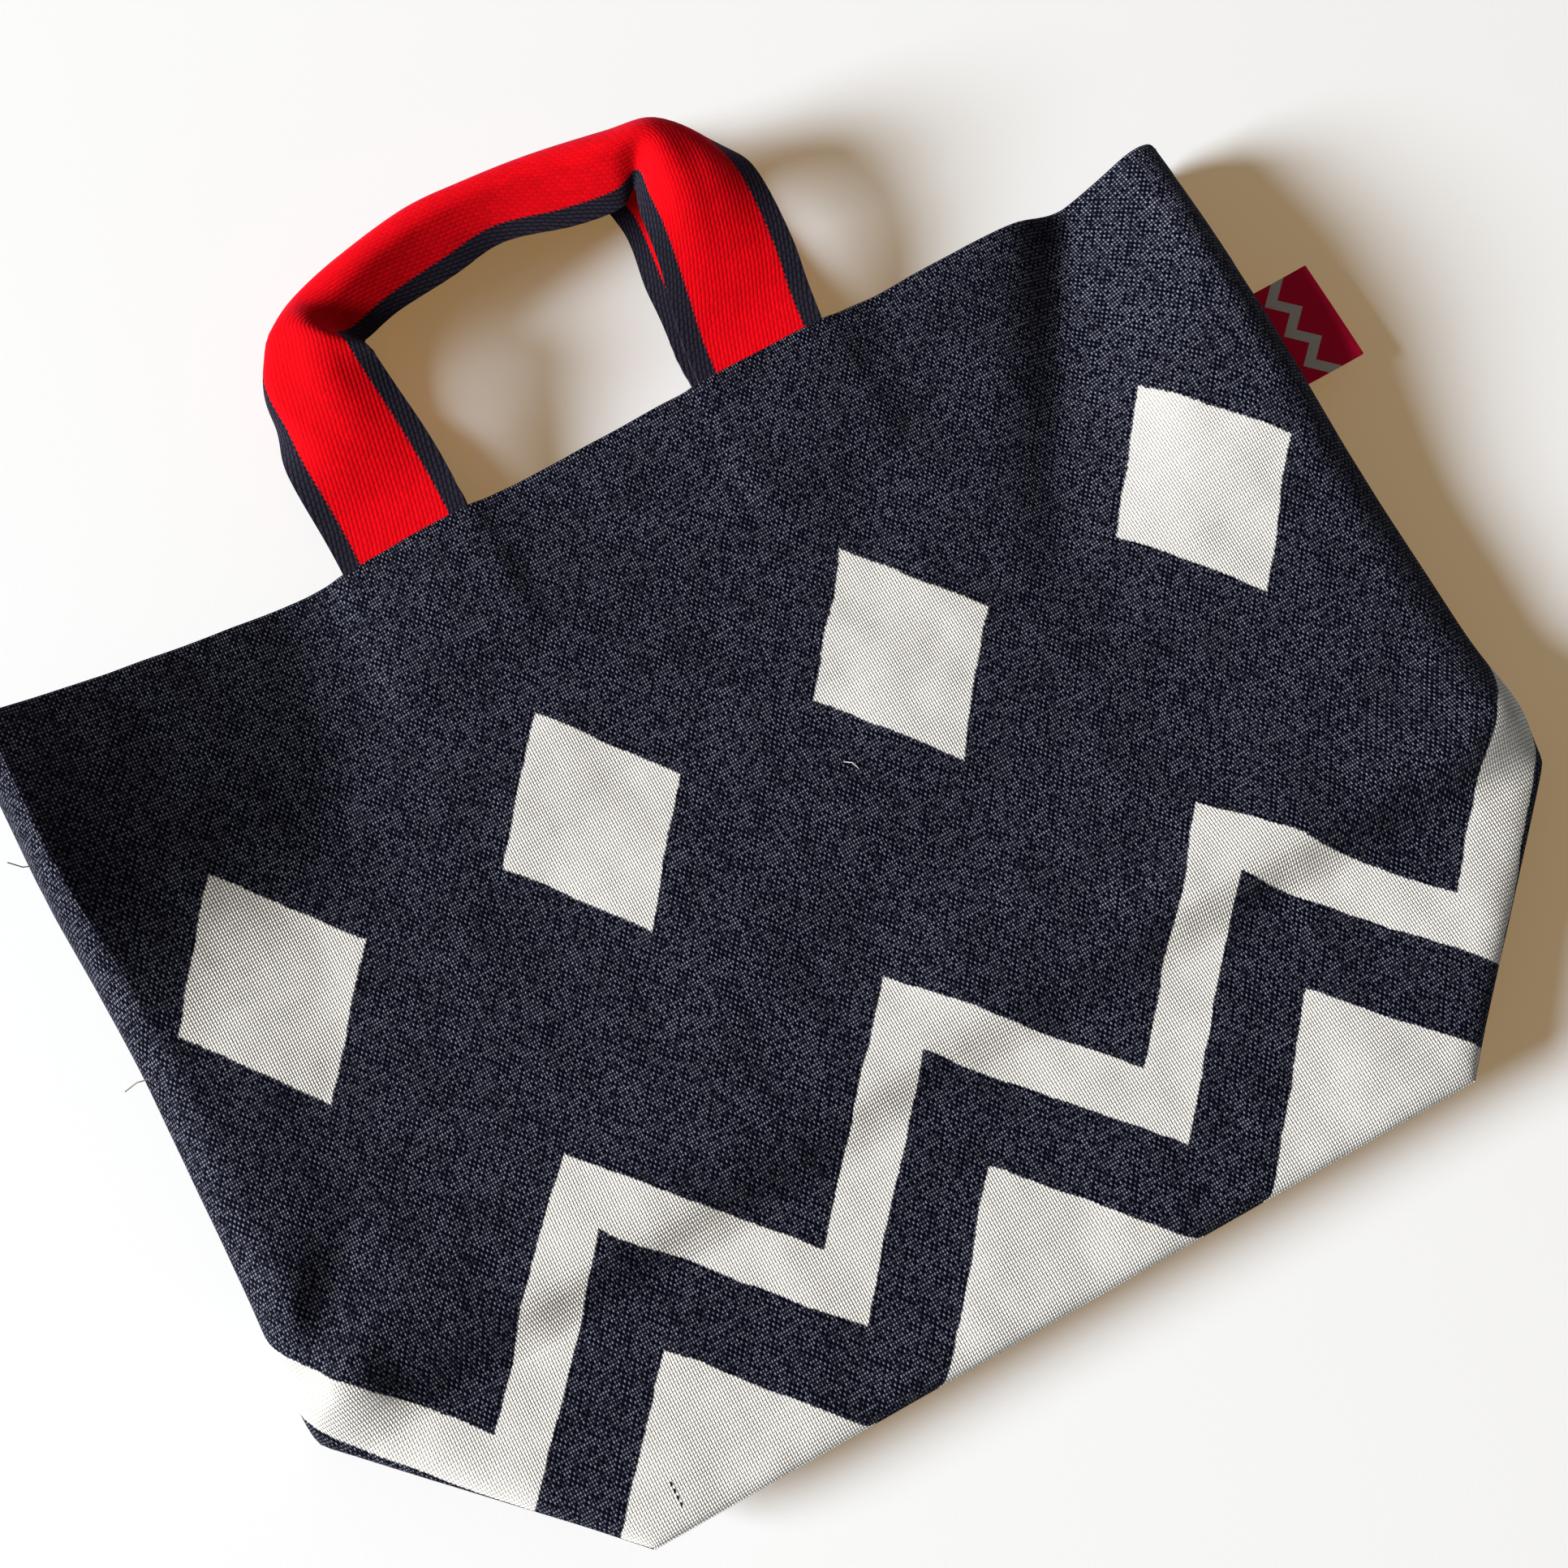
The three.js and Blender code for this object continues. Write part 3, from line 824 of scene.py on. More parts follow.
@dataclass(frozen=True)
class CanvasFinish:
    """Heavy plain-weave cotton, dyed navy, with or without the resist design."""

    name: str
    printed: bool
    # Navy in the gaps between yarns, darkened by painted shade, and on the crowns, lightened by a painted
    # highlight.
    dark: Rgb = (0.0006, 0.0010, 0.0052)
    crown: Rgb = (0.168, 0.174, 0.226)
    # Undyed cotton in the gaps between yarns, with painted shade, and on the crowns, with a painted
    # highlight.
    raw_gap_shade: Rgb = (0.42, 0.39, 0.33)
    raw_crown_highlight: Rgb = (1.0, 0.98, 0.935)
    warp: float = 0.74
    weft: float = 0.95
    wear: float = 4.4                 # how closely the painted highlight keeps to the crowns
    wear_span: Plan = (-0.3, 2.0)     # strength of the painted highlight, from the dullest crown to the brightest one
    patch_scale: float = 0.09
    patch_span: Plan = (0.9, 1.1)     # tones of broad patches of the dyed cloth
    yarn_limits: Plan = (0.25, 0.8)
    yarn_span: Plan = (0.8, 1.25)     # tones of its yarns
    crown_limits: Plan = (0.12, 0.66)
    fleck_limits: Plan = (0.2, 0.8)
    fleck_span: Plan = (0.88, 1.04)   # tones of undyed yarns
    bump: Plan = (0.34, 0.8)
    roughness: float = 0.9

    def build(self, yarns: Yarns) -> bpy.types.Material:
        """Makes the material.

        Args:
            yarns: the shared shader groups.

        Returns:
            The new material.
        """
        material, graph, shader = new_material(self.name, self.roughness)
        place = graph.flat_place()
        weave = graph.group(yarns.plain, place=place, warp=self.warp, weft=self.weft)
        height, shade = weave["Height"], weave["Shade"]
        # Painted highlight on the yarn crowns over painted shade in the gaps between them.
        spots = graph.step(weave["Speck"], (0.0, 1.0), self.wear_span)
        highlight_share = graph.times(graph.power(height, self.wear), spots)
        navy = graph.mix(highlight_share, opaque(self.dark), opaque(self.crown))
        patchy = graph.step(graph.noise(place, self.patch_scale, 3.0), (0.25, 0.75), self.patch_span)
        colour = graph.toned(navy, graph.times(patchy, graph.step(shade, self.yarn_limits, self.yarn_span)))
        if self.printed:
            # Painted highlight on the crowns of the undyed yarns and painted shade between them.
            crown = graph.step(height, self.crown_limits)
            raw = graph.mix(crown, opaque(self.raw_gap_shade), opaque(self.raw_crown_highlight))
            raw = graph.toned(raw, graph.step(shade, self.fleck_limits, self.fleck_span))
            colour = graph.mix(graph.group(yarns.dye, place=place)["Kept"], colour, raw)
        graph.feed(shader.inputs["Base Color"], colour)
        add_bump(graph, shader, height, self.bump)
        return material


@dataclass(frozen=True)
class WebbingFinish:
    """Red twill webbing with navy edges."""

    name: str
    half_red: float = 13.3
    # Red and navy of the webbing, each with painted shade between the twill's floats and a painted highlight
    # on their crowns.
    red_dark: Rgb = (0.65, 0.0003, 0.0028)
    red_crown: Rgb = (0.74, 0.0006, 0.0050)
    navy_dark: Rgb = (0.002, 0.0022, 0.004)
    navy_crown: Rgb = (0.018, 0.020, 0.031)
    tooth: float = 1.5              # the red's edge is toothed at this pitch
    tooth_depth: float = 0.7
    edge: float = 0.12
    crown_limits: Plan = (0.15, 0.95)
    shade_limits: Plan = (0.2, 0.8)
    shade_span: Plan = (0.9, 1.08)
    bump: Plan = (0.15, 0.6)
    roughness: float = 0.85
    fuzz: float = 0.08
    fuzz_tint: Rgb = (1.0, 0.25, 0.6)

    def build(self, yarns: Yarns) -> bpy.types.Material:
        """Makes the material.

        Args:
            yarns: the shared shader groups.

        Returns:
            The new material.
        """
        material, graph, shader = new_material(self.name, self.roughness)
        place = graph.flat_place()
        twill = graph.group(yarns.twill, place=place)
        # Painted highlight on the floats' crowns and painted shade between them, in both the red and the
        # navy.
        crown = graph.step(twill["Height"], self.crown_limits)
        red = graph.mix(crown, opaque(self.red_dark), opaque(self.red_crown))
        navy = graph.mix(crown, opaque(self.navy_dark), opaque(self.navy_crown))
        u, v = graph.parts(place)
        tooth = graph.math("FRACT", graph.divided(v, self.tooth))
        limit = graph.plus(graph.times(tooth, self.tooth_depth), self.half_red)
        past = graph.minus(graph.math("ABSOLUTE", u), limit)
        colour = graph.mix(graph.step(past, (-self.edge, self.edge)), red, navy)
        colour = graph.toned(colour, graph.step(twill["Shade"], self.shade_limits, self.shade_span))
        graph.feed(shader.inputs["Base Color"], colour)
        shader.inputs["Sheen Weight"].default_value = self.fuzz
        shader.inputs["Sheen Tint"].default_value = opaque(self.fuzz_tint)
        add_bump(graph, shader, twill["Height"], self.bump)
        return material


@dataclass(frozen=True)
class LabelFinish:
    """Fine woven label with a zigzag stripe."""

    name: str
    ground: Rgb = (0.95, 0.010, 0.070)
    thread: Rgb = (0.90, 0.87, 0.82)
    warp: float = 0.32
    weft_share: float = 1.4
    wander: float = 0.05
    zigzag_pitch: float = 10.0
    zigzag_depth: float = 5.0
    stripe_at: float = 7.5
    stripe_half: float = 2.0
    stripe_edge: float = 0.1
    # Painted shade between the label's yarns and a painted highlight on their crowns.
    tone_limits: Plan = (0.1, 1.0)
    tone_span: Plan = (0.72, 1.08)
    bump: Plan = (0.07, 0.6)
    roughness: float = 0.55

    def build(self, yarns: Yarns) -> bpy.types.Material:
        """Makes the material.

        Args:
            yarns: the shared shader groups.

        Returns:
            The new material.
        """
        material, graph, shader = new_material(self.name, self.roughness)
        place = graph.flat_place()
        weft = self.warp * self.weft_share
        weave = graph.group(yarns.plain, place=place, warp=self.warp, weft=weft, wander=self.wander)
        height = weave["Height"]
        u, v = graph.parts(place)
        turn = graph.math("FRACT", graph.divided(v, self.zigzag_pitch))
        wave = graph.times(graph.distance(turn, 0.5), 2 * self.zigzag_depth)
        off = graph.distance(graph.minus(u, wave), self.stripe_at)
        stripe = graph.step(graph.minus(self.stripe_half, off), (-self.stripe_edge, self.stripe_edge))
        colour = graph.mix(stripe, opaque(self.ground), opaque(self.thread))
        # Painted shade in the gaps of the weave and a painted highlight on its crowns.
        colour = graph.toned(colour, graph.step(height, self.tone_limits, self.tone_span))
        graph.feed(shader.inputs["Base Color"], colour)
        add_bump(graph, shader, height, self.bump)
        return material


@dataclass(frozen=True)
class TapeFinish:
    """Seam tape, sewing thread and yarn ends: one colour over a fine twill, with painted shade and highlight.
    """

    name: str
    # Colour in the gaps of the twill, with painted shade, and on its crowns, with a painted highlight.
    dark: Rgb
    crown: Rgb
    pitch: float = 0.5
    slant: float = 0.6
    run: float = 1.4
    crown_limits: Plan = (0.1, 1.0)
    bump: Plan = (0.1, 0.6)
    roughness: float = 0.8

    def build(self, yarns: Yarns) -> bpy.types.Material:
        """Makes the material.

        Args:
            yarns: the shared shader groups.

        Returns:
            The new material.
        """
        material, graph, shader = new_material(self.name, self.roughness)
        twill = graph.group(
            yarns.twill, place=graph.flat_place(), pitch=self.pitch, slant=self.slant, float=self.run)
        # Painted highlight on the twill's crowns and painted shade between them.
        crown = graph.step(twill["Height"], self.crown_limits)
        graph.feed(shader.inputs["Base Color"], graph.mix(crown, opaque(self.dark), opaque(self.crown)))
        add_bump(graph, shader, twill["Height"], self.bump)
        return material


@dataclass(frozen=True)
class FloorFinish:
    """Pale table top with a painted warm fill, seen only by the camera, that makes its shadows as warm as a
    lamp-lit room makes them.
    """

    name: str
    # Cooler than a white table, to balance the painted fill where the floor is lit.
    colour: Rgb = (0.605, 0.68, 0.75)
    glow: Rgb = (0.235, 0.145, 0.055)
    patch_scale: float = 3.0
    patch_limits: Plan = (0.2, 0.8)
    patch_span: Plan = (0.985, 1.0)
    grain: float = 900.0
    bump: Plan = (0.1, 0.15)
    roughness: float = 0.6

    def build(self) -> bpy.types.Material:
        """Makes the material.

        Returns:
            The new material.
        """
        material, graph, shader = new_material(self.name, self.roughness)
        place = graph.node("ShaderNodeTexCoord").outputs["Object"]
        patchy = graph.step(graph.noise(place, self.patch_scale, 2.0), self.patch_limits, self.patch_span)
        graph.feed(shader.inputs["Base Color"], graph.toned(opaque(self.colour), patchy))
        # Painted warm fill, seen only by the camera, that lifts the floor's shadows.
        graph.feed(shader.inputs["Emission Strength"], graph.background_rays())
        shader.inputs["Emission Color"].default_value = opaque(self.glow)
        add_bump(graph, shader, graph.noise(place, self.grain, 3.0), self.bump)
        return material


@dataclass(frozen=True)
class Wardrobe:
    """Every finish of the bag."""

    printed_canvas: bpy.types.Material
    plain_canvas: bpy.types.Material
    webbing: bpy.types.Material
    label: bpy.types.Material
    tape: bpy.types.Material
    thread: bpy.types.Material
    pale_yarn: bpy.types.Material

    @classmethod
    def build(cls) -> "Wardrobe":
        """Makes all the materials.

        Returns:
            The finishes.
        """
        yarns = Yarns()
        return cls(
            printed_canvas=CanvasFinish("resist_dyed_canvas", True).build(yarns),
            plain_canvas=CanvasFinish("navy_canvas", False).build(yarns),
            webbing=WebbingFinish("red_webbing").build(yarns),
            label=LabelFinish("woven_label").build(yarns),
            # Each tape finish is given its colour with painted shade, then its colour with a painted
            # highlight.
            tape=TapeFinish("seam_tape", (0.004, 0.0045, 0.009), (0.022, 0.025, 0.042)).build(yarns),
            thread=TapeFinish(
                "sewing_thread", (0.006, 0.006, 0.011), (0.035, 0.037, 0.05), 0.25).build(yarns),
            pale_yarn=TapeFinish("undyed_yarn", (0.55, 0.52, 0.45), (0.85, 0.83, 0.78), 0.25).build(yarns),
        )

    def canvas(self, face: Face) -> bpy.types.Material:
        """A face's canvas: only the front has the design."""
        return self.printed_canvas if face is Face.FRONT else self.plain_canvas


def finish_mesh(name: str, form: bmesh.types.BMesh, material: bpy.types.Material) -> bpy.types.Object:
    """Turns a bmesh into an object with smooth faces and sharp rims.

    Args:
        name: the object's name.
        form: the bmesh, which is freed.
        material: the object's one material.

    Returns:
        The new object, linked to the scene.
    """
    form.normal_update()
    for face in form.faces:
        face.smooth = True
    for edge in form.edges:
        edge.smooth = edge.calc_face_angle(0.0) < SHARP_ANGLE
    mesh = bpy.data.meshes.new(name)
    form.to_mesh(mesh)
    form.free()
    mesh.materials.append(material)
    made = bpy.data.objects.new(name, mesh)
    bpy.context.scene.collection.objects.link(made)
    LOG.info("built %s with %d faces", name, len(mesh.polygons))
    return made


@dataclass
class Sheet:
    """A grid of cloth that is bent to shape and given its thickness."""

    name: str
    columns: int
    rows: int
    thickness: float
    material: bpy.types.Material

    def build(self, place: Placing, flat: Laying, outward: float = 1) -> bpy.types.Object:
        """Builds the sheet.

        Args:
            place: outer face's point for a share of the columns and of the rows.
            flat: place on the flat cloth for the same shares.
            outward: the way that the outer face looks along Z.

        Returns:
            The new object.
        """
        form = bmesh.new()
        layer = form.verts.layers.float_vector.new(FLAT)
        bmesh.ops.create_grid(form, x_segments=self.columns, y_segments=self.rows, size=0.5)
        for vert in form.verts:
            share = (vert.co.x + 0.5, vert.co.y + 0.5)
            vert[layer] = Vector((*flat(*share), 0.0))
            vert.co = Vector(place(*share)) * MM
        form.normal_update()
        looks = sum((face.normal * face.calc_area() for face in form.faces), Vector())
        if looks.z * outward < 0:
            bmesh.ops.reverse_faces(form, faces=form.faces)
        form.normal_update()
        bmesh.ops.solidify(form, geom=form.faces[:], thickness=self.thickness * MM)
        return finish_mesh(self.name, form, self.material)


@dataclass
class Shell:
    """Front and back cloth with the turned-in mouth, in halves."""

    folds: Folds
    relief: Relief
    wardrobe: Wardrobe
    canvas: float = 1.2
    columns: int = 110
    rows: int = 200
    bend: float = 12.0                # reach to either side of a gusset fold
    side_band: float = 12.0           # columns lie closer in a band along the side
    side_columns: float = 0.72        # and this share of them lies before it
    base_band: float = 8.0            # rows lie closer in bands along the base and the mouth
    mouth_band: float = 4.0
    row_shares: tuple[float, ...] = (0.08, 0.86, 0.9, 0.95)   # up to the bands' ends and round the hem
    hem_radius: float = 1.45
    hem_return: float = 9.0
    facing: float = 1.0
    facing_rows: int = 24
    facing_depth: float = 40.0
    facing_short: float = 0.6         # the facing ends this far below the mouth
    facing_gap: float = 0.3
    facing_inset: float = 14.0        # along the side it draws close to the cloth
    facing_pull: float = 4.0          # and away from the seam
    strap_room: float = 2.4           # it bulges over the sewn-in webbing
    strap_span: Plan = (35.0, 74.0)
    strap_soft: float = 6.0
    webbing_gap: float = 0.2

    @property
    def hem_room(self) -> float:
        """Depth behind the front's outer face at which the webbing is sewn in."""
        return 2 * self.hem_radius + self.webbing_gap

    def column_x(self, share: float, side: Side, half_width: float) -> float:
        """Place across a half, closer together near the rolled edge."""
        stops = [(0, 0), (self.side_columns, half_width - self.side_band), (1, half_width)]
        return side.value * stretch(share, stops)

    def row_length(self, share: float) -> float:
        """Cloth length from the base edge, with the rows closer at the edges and round the hem."""
        height = self.folds.height
        fold = math.pi * self.hem_radius
        lengths = (self.base_band, height - self.mouth_band, height, height + fold)
        return stretch(share, [(0, 0), *zip(self.row_shares, lengths), (1, height + fold + self.hem_return)])

    def cloth_point(self, face: Face, x: float, length: float) -> Point:
        """Place of the cloth at a length from the base edge, round the hem if need be.

        Args:
            face: the face that the cloth is on.
            x: place across the bag.
            length: cloth length from the base edge.

        Returns:
            The point on the cloth's outer side.
        """
        folds = self.folds
        past = length - folds.height
        if past <= 0:
            return self.relief.point(face, x, folds.base_y + length)
        turn = min(math.pi, past / self.hem_radius)
        back = max(0.0, past - math.pi * self.hem_radius)
        at_x, _, z = self.relief.point(face, x, folds.mouth_y - back)
        drop = self.hem_radius * (1 - math.cos(turn))
        return at_x, folds.mouth_y - back + self.hem_radius * math.sin(turn), z - face.value * drop

    def facing_point(self, face: Face, x: float, y: float) -> Point:
        """Place of the facing's inner side behind the cloth, bulging over the sewn-in webbing.

        Args:
            face: the face that the facing is sewn to.
            x: place across the bag.
            y: place from the base to the mouth.

        Returns:
            The point in millimetres.
        """
        at_x, at_y, z = self.relief.point(face, x, y)
        depth = 2 * self.hem_radius + self.facing_gap + self.facing
        near, far = self.strap_span
        strap = Patch((near, y - 1), (far, y + 1), self.strap_soft, self.strap_room).at(abs(x), y)
        inset = min(1.0, self.folds.edge_distance(x, y) / self.facing_inset)
        pull = math.copysign(self.facing_pull * (1 - inset), x)
        return at_x - pull, at_y, z - face.value * (depth + strap) * inset

    def build_cloth(self, face: Face, side: Side) -> bpy.types.Object:
        """Builds half of a face's cloth with its hem.

        Args:
            face: the face.
            side: the half's side.

        Returns:
            The new object.
        """
        folds = self.folds

        def spot(column: float, row: float) -> tuple[float, float, float]:
            """Place across, cloth length from the base edge, and height up to the mouth."""
            length = self.row_length(row)
            y = min(folds.base_y + length, folds.mouth_y)
            return self.column_x(column, side, folds.half_width(y)), length, y

        def place(column: float, row: float) -> Point:
            """A point on the cloth's outer side."""
            x, length, _ = spot(column, row)
            return self.cloth_point(face, x, length)

        def flat(column: float, row: float) -> Plan:
            """Its place on the flat cloth."""
            x, length, y = spot(column, row)
            at_x, at_y = self.relief.flat(face, x, y)
            return at_x, at_y + folds.base_y + length - y

        name = f"{half_name(face, side)}_cloth"
        sheet = Sheet(name, self.columns, self.rows, self.canvas, self.wardrobe.canvas(face))
        return sheet.build(place, flat, face.value)

    def build_facing(self, face: Face, side: Side) -> bpy.types.Object:
        """Builds half of the facing inside the mouth.

        Args:
            face: the face.
            side: the half's side.

        Returns:
            The new object.
        """
        low = self.folds.mouth_y - self.facing_depth

        def spot(column: float, row: float) -> Plan:
            """A place on the flat facing."""
            x = self.column_x(column, side, self.folds.seam_x)
            return x, low + row * (self.facing_depth - self.facing_short)

        def place(column: float, row: float) -> Point:
            """A point on the facing's inner side."""
            return self.facing_point(face, *spot(column, row))

        name = f"{half_name(face, side)}_facing"
        sheet = Sheet(name, self.columns, self.facing_rows, self.facing, self.wardrobe.plain_canvas)
        return sheet.build(place, spot, -face.value)

    def dress(self, piece: bpy.types.Object, face: Face, nodes: list[str]) -> None:
        """Bakes a half's placing into its mesh and hides the solids that it stands for.

        Args:
            piece: the half of a cloth or facing.
            face: the face.
            nodes: the solids that it stands for.
        """
        fold, z = self.folds.half_base, self.folds.panel_z(face)
        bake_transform(piece)
        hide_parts(*nodes)

    def build(self) -> None:
        """Builds and dresses both faces."""
        for face in Face:
            for side in Side:
                half = half_name(face, side)
                cloth = self.build_cloth(face, side)
                self.dress(cloth, face, [f"{face.body}_panel", f"{half}_gusset"])
                facing = self.build_facing(face, side)
                self.dress(facing, face, [f"{face.key}_facing", f"{half}_hem"])


@dataclass
class TuckedBase:
    """The base panel's two halves and the corner triangles, folded into the bag, with their bound seams."""

    folds: Folds
    wardrobe: Wardrobe
    canvas: float = 1.2
    sag: float = 0.5
    sag_wave: Plan = (40.0, 2.0)      # wavelength and seed
    half_grid: tuple[int, int] = (90, 26)
    corner_grid: tuple[int, int] = (24, 24)
    edge_take: float = 2.2            # cloth that the rolled base edge takes up
    binding: float = 1.4
    binding_grid: tuple[int, int] = (10, 60)
    binding_gap: float = 0.3
    ripple: float = 0.25
    ripple_wave: Plan = (14.0, 5.0)   # wavelength and seed
    sewn_ripple: float = 0.4          # share of the ripple where the binding lies on the base

    def build_half(self, face: Face) -> None:
        """Builds one half of the base panel."""
        folds = self.folds
        depth = folds.base_depth

        def place(column: float, row: float) -> Point:
            """A point on the half's outer side."""
            x = (2 * column - 1) * folds.half_base
            y = folds.base_y + row * depth
            hang = self.sag * soft_noise(x, y, *self.sag_wave) * math.sin(math.pi * row)
            hang *= math.sin(math.pi * column)
            return x, y, folds.edge_z(face, y) + face.value * abs(hang)

        def flat(column: float, row: float) -> Plan:
            """Its place on the flat cloth, past the base edge."""
            return (2 * column - 1) * folds.half_base, folds.base_y - self.edge_take - row * depth

        sheet = Sheet(f"base_{face.key}_cloth", *self.half_grid, self.canvas, self.wardrobe.canvas(face))
        made = sheet.build(place, flat, -face.value)
        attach(made, f"base_{face.key}")
        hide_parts(f"base_{face.key}_half")

    def build_corner(self, face: Face, side: Side) -> None:
        """Builds the corner triangle that folds in beside the base."""
        folds = self.folds
        depth = folds.base_depth

        def flat(column: float, row: float) -> Plan:
            """A place on the flat triangle."""
            return side.value * (folds.half_base + column * row * depth), folds.base_y + row * depth

        def place(column: float, row: float) -> Point:
            """A point on the triangle's outer side."""
            x, y = flat(column, row)
            return x, y, folds.edge_z(face, y)

        half = half_name(face, side)
        sheet = Sheet(f"{half}_corner_cloth", *self.corner_grid, self.canvas, self.wardrobe.plain_canvas)
        made = sheet.build(place, flat, -face.value)
        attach(made, f"{half}_fold")
        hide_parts(f"{half}_corner")

    def build_binding(self, node: str, body: str, face: Face | None = None) -> None:
        """Builds a bound seam allowance over its solid, a little uneven.

        Args:
            node: the solid.
            body: the body that it moves with.
            face: the side of the base that a base seam's binding lies on.
        """
        low, high = box_in_mm(node)
        wide, tall = high.x - low.x, high.y - low.y

        def place(column: float, row: float) -> Point:
            """A point on the binding's upper side."""
            x, y = low.x + wide * column, low.y + tall * row
            ripple = self.ripple * soft_noise(x, y, *self.ripple_wave)
            if face is None:
                return x, y, high.z + ripple
            off = self.canvas + self.binding_gap + (self.binding if face is Face.FRONT else 0)
            z = self.folds.edge_z(face, y) + face.value * off
            return x, y, z + ripple * face.value * self.sewn_ripple

        def flat(column: float, row: float) -> Plan:
            """Its place on the flat tape."""
            return wide * column, tall * row

        made = Sheet(f"{node}_tape", *self.binding_grid, self.binding, self.wardrobe.tape).build(place, flat)
        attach(made, body)
        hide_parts(node)

    def build(self) -> None:
        """Builds the base, the corners and the bindings."""
        for face in Face:
            self.build_half(face)
            for side in Side:
                self.build_corner(face, side)
                self.build_binding(f"{half_name(face, side)}_base_seam", f"base_{face.key}", face)
        for side in Side:
            self.build_binding(f"{side.key}_seam_binding", f"{side.key}_seam")


@dataclass
class SideSeams:
    """The sewn edges between the front and back rolls."""

    folds: Folds
    wardrobe: Wardrobe
    thickness: float = 1.6
    grid: tuple[int, int] = (8, 110)
    overlap: float = 0.25             # the welt reaches this share of its width further in than its solid
    rim: float = 0.04                 # least share of the crown, squared
    uneven: float = 0.15
    uneven_wave: Plan = (9.0, 1.0)    # wavelength and seed
    cloth_width: float = 2.4

    def build_welt(self, side: Side) -> None:
        """Builds a narrow welt along a side seam."""
        node = f"{side.key}_side_seam"
        low, high = box_in_mm(node)
        inner, outer = (low.x, high.x) if side is Side.RIGHT else (high.x, low.x)

        def place(column: float, row: float) -> Point:
            """A point on the welt's upper side."""
            y = between(low.y, high.y, row)
            x = between(inner, outer, column * (1 + self.overlap) - self.overlap)
            crown = self.thickness / 2 * math.sqrt(max(self.rim, 1 - (2 * column - 1) ** 2))
            return x, y, self.folds.middle_z + crown + self.uneven * soft_noise(x, y, *self.uneven_wave)

        def flat(column: float, row: float) -> Plan:
            """Its place on the flat cloth."""
            return column * self.cloth_width, between(low.y, high.y, row)

        sheet = Sheet(f"{node}_welt", *self.grid, self.thickness, self.wardrobe.plain_canvas)
        made = sheet.build(place, flat)
        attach(made, f"{side.key}_seam")
        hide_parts(node)

    def build(self) -> None:
        """Builds both seams."""
        for side in Side:
            self.build_welt(side)


@dataclass(frozen=True)
class Station:
    """A cross-section of the webbing, inner to outer edge, in millimetres from the hem's middle."""

    inner: Point
    crest: Point
    shoulder: Point
    outer: Point


def flat_station(x_inner: float, x_outer: float, y: float, z: float) -> Station:
    """A cross-section that lies level across the webbing."""
    third = (x_outer - x_inner) / 3
    return Station((x_inner, y, z), (x_inner + third, y, z), (x_outer - third, y, z), (x_outer, y, z))


def spline(points: list[Vector], share: float) -> Vector:
    """Follows a smooth curve through points.

    Args:
        points: the points, in order.
        share: share of the curve's stretches, from 0 to 1.

    Returns:
        The point there.
    """
    count = len(points) - 1
    place = min(count - 1e-6, max(0.0, share * count))
    index = int(place)
    t = place - index
    before = points[max(index - 1, 0)]
    start = points[index]
    end = points[index + 1]
    after = points[min(index + 2, count)]
    return 0.5 * (
        2 * start + (end - before) * t + (2 * before - 5 * start + 4 * end - after) * t * t
        + (3 * start - before - 3 * end + after) * t ** 3
    )


FRONT_STATIONS = [
    flat_station(-35.5, -73.5, -1, 0),
    flat_station(-35.3, -74.0, 14, 2.2),
    Station((-36, 29, 7.5), (-50, 29.3, 9), (-63, 29.6, 8.8), (-74.5, 30, 6.5)),
    Station((-37.4, 42, 13), (-52, 45, 17), (-70, 48, 13.5), (-70.5, 48.5, 4)),
    Station((-38.7, 49, 17), (-50, 56.5, 20.5), (-64, 61, 17.5), (-63.5, 61, 7)),
    Station((-41, 54.5, 11), (-49, 61.5, 20.5), (-57.5, 66.5, 19), (-58.5, 67, 7)),
    Station((-38, 56.5, 4.5), (-44, 66, 17), (-49, 72, 16.5), (-51, 74, 6)),
    Station((-26, 59.3, 5), (-31, 70, 18), (-34.5, 76, 17), (-36, 78, 7)),
    Station((-7.7, 61.2, 5.5), (-11, 74, 18), (-12.5, 79.8, 17), (-13.5, 82, 7)),
    Station((8, 62.5, 6), (6, 74, 18), (5.5, 79, 17), (5, 81.5, 7)),
    Station((27, 57.5, 6), (25, 71, 18.5), (24.5, 77.2, 17), (24, 79.5, 6)),
    Station((40.5, 55, 7), (43, 66.5, 20), (45.5, 73, 17.5), (47, 75.5, 6)),
    Station((46, 57.5, 9), (54, 65, 20.5), (59.5, 70, 17), (62.5, 72, 5.5)),
    Station((44, 50, 10.5), (57, 56.5, 18), (68.5, 59.5, 14), (73, 60, 5.5)),
    Station((42.5, 40, 10), (55.5, 43.5, 14), (68, 46.5, 13), (75.5, 47.5, 9)),
    Station((39.3, 24, 5.5), (51, 24.5, 6.5), (63, 25, 6.5), (75, 25, 5.5)),
    flat_station(37, 74.3, 12, 1.8),
    flat_station(35.5, 73.5, -1, 0),
]

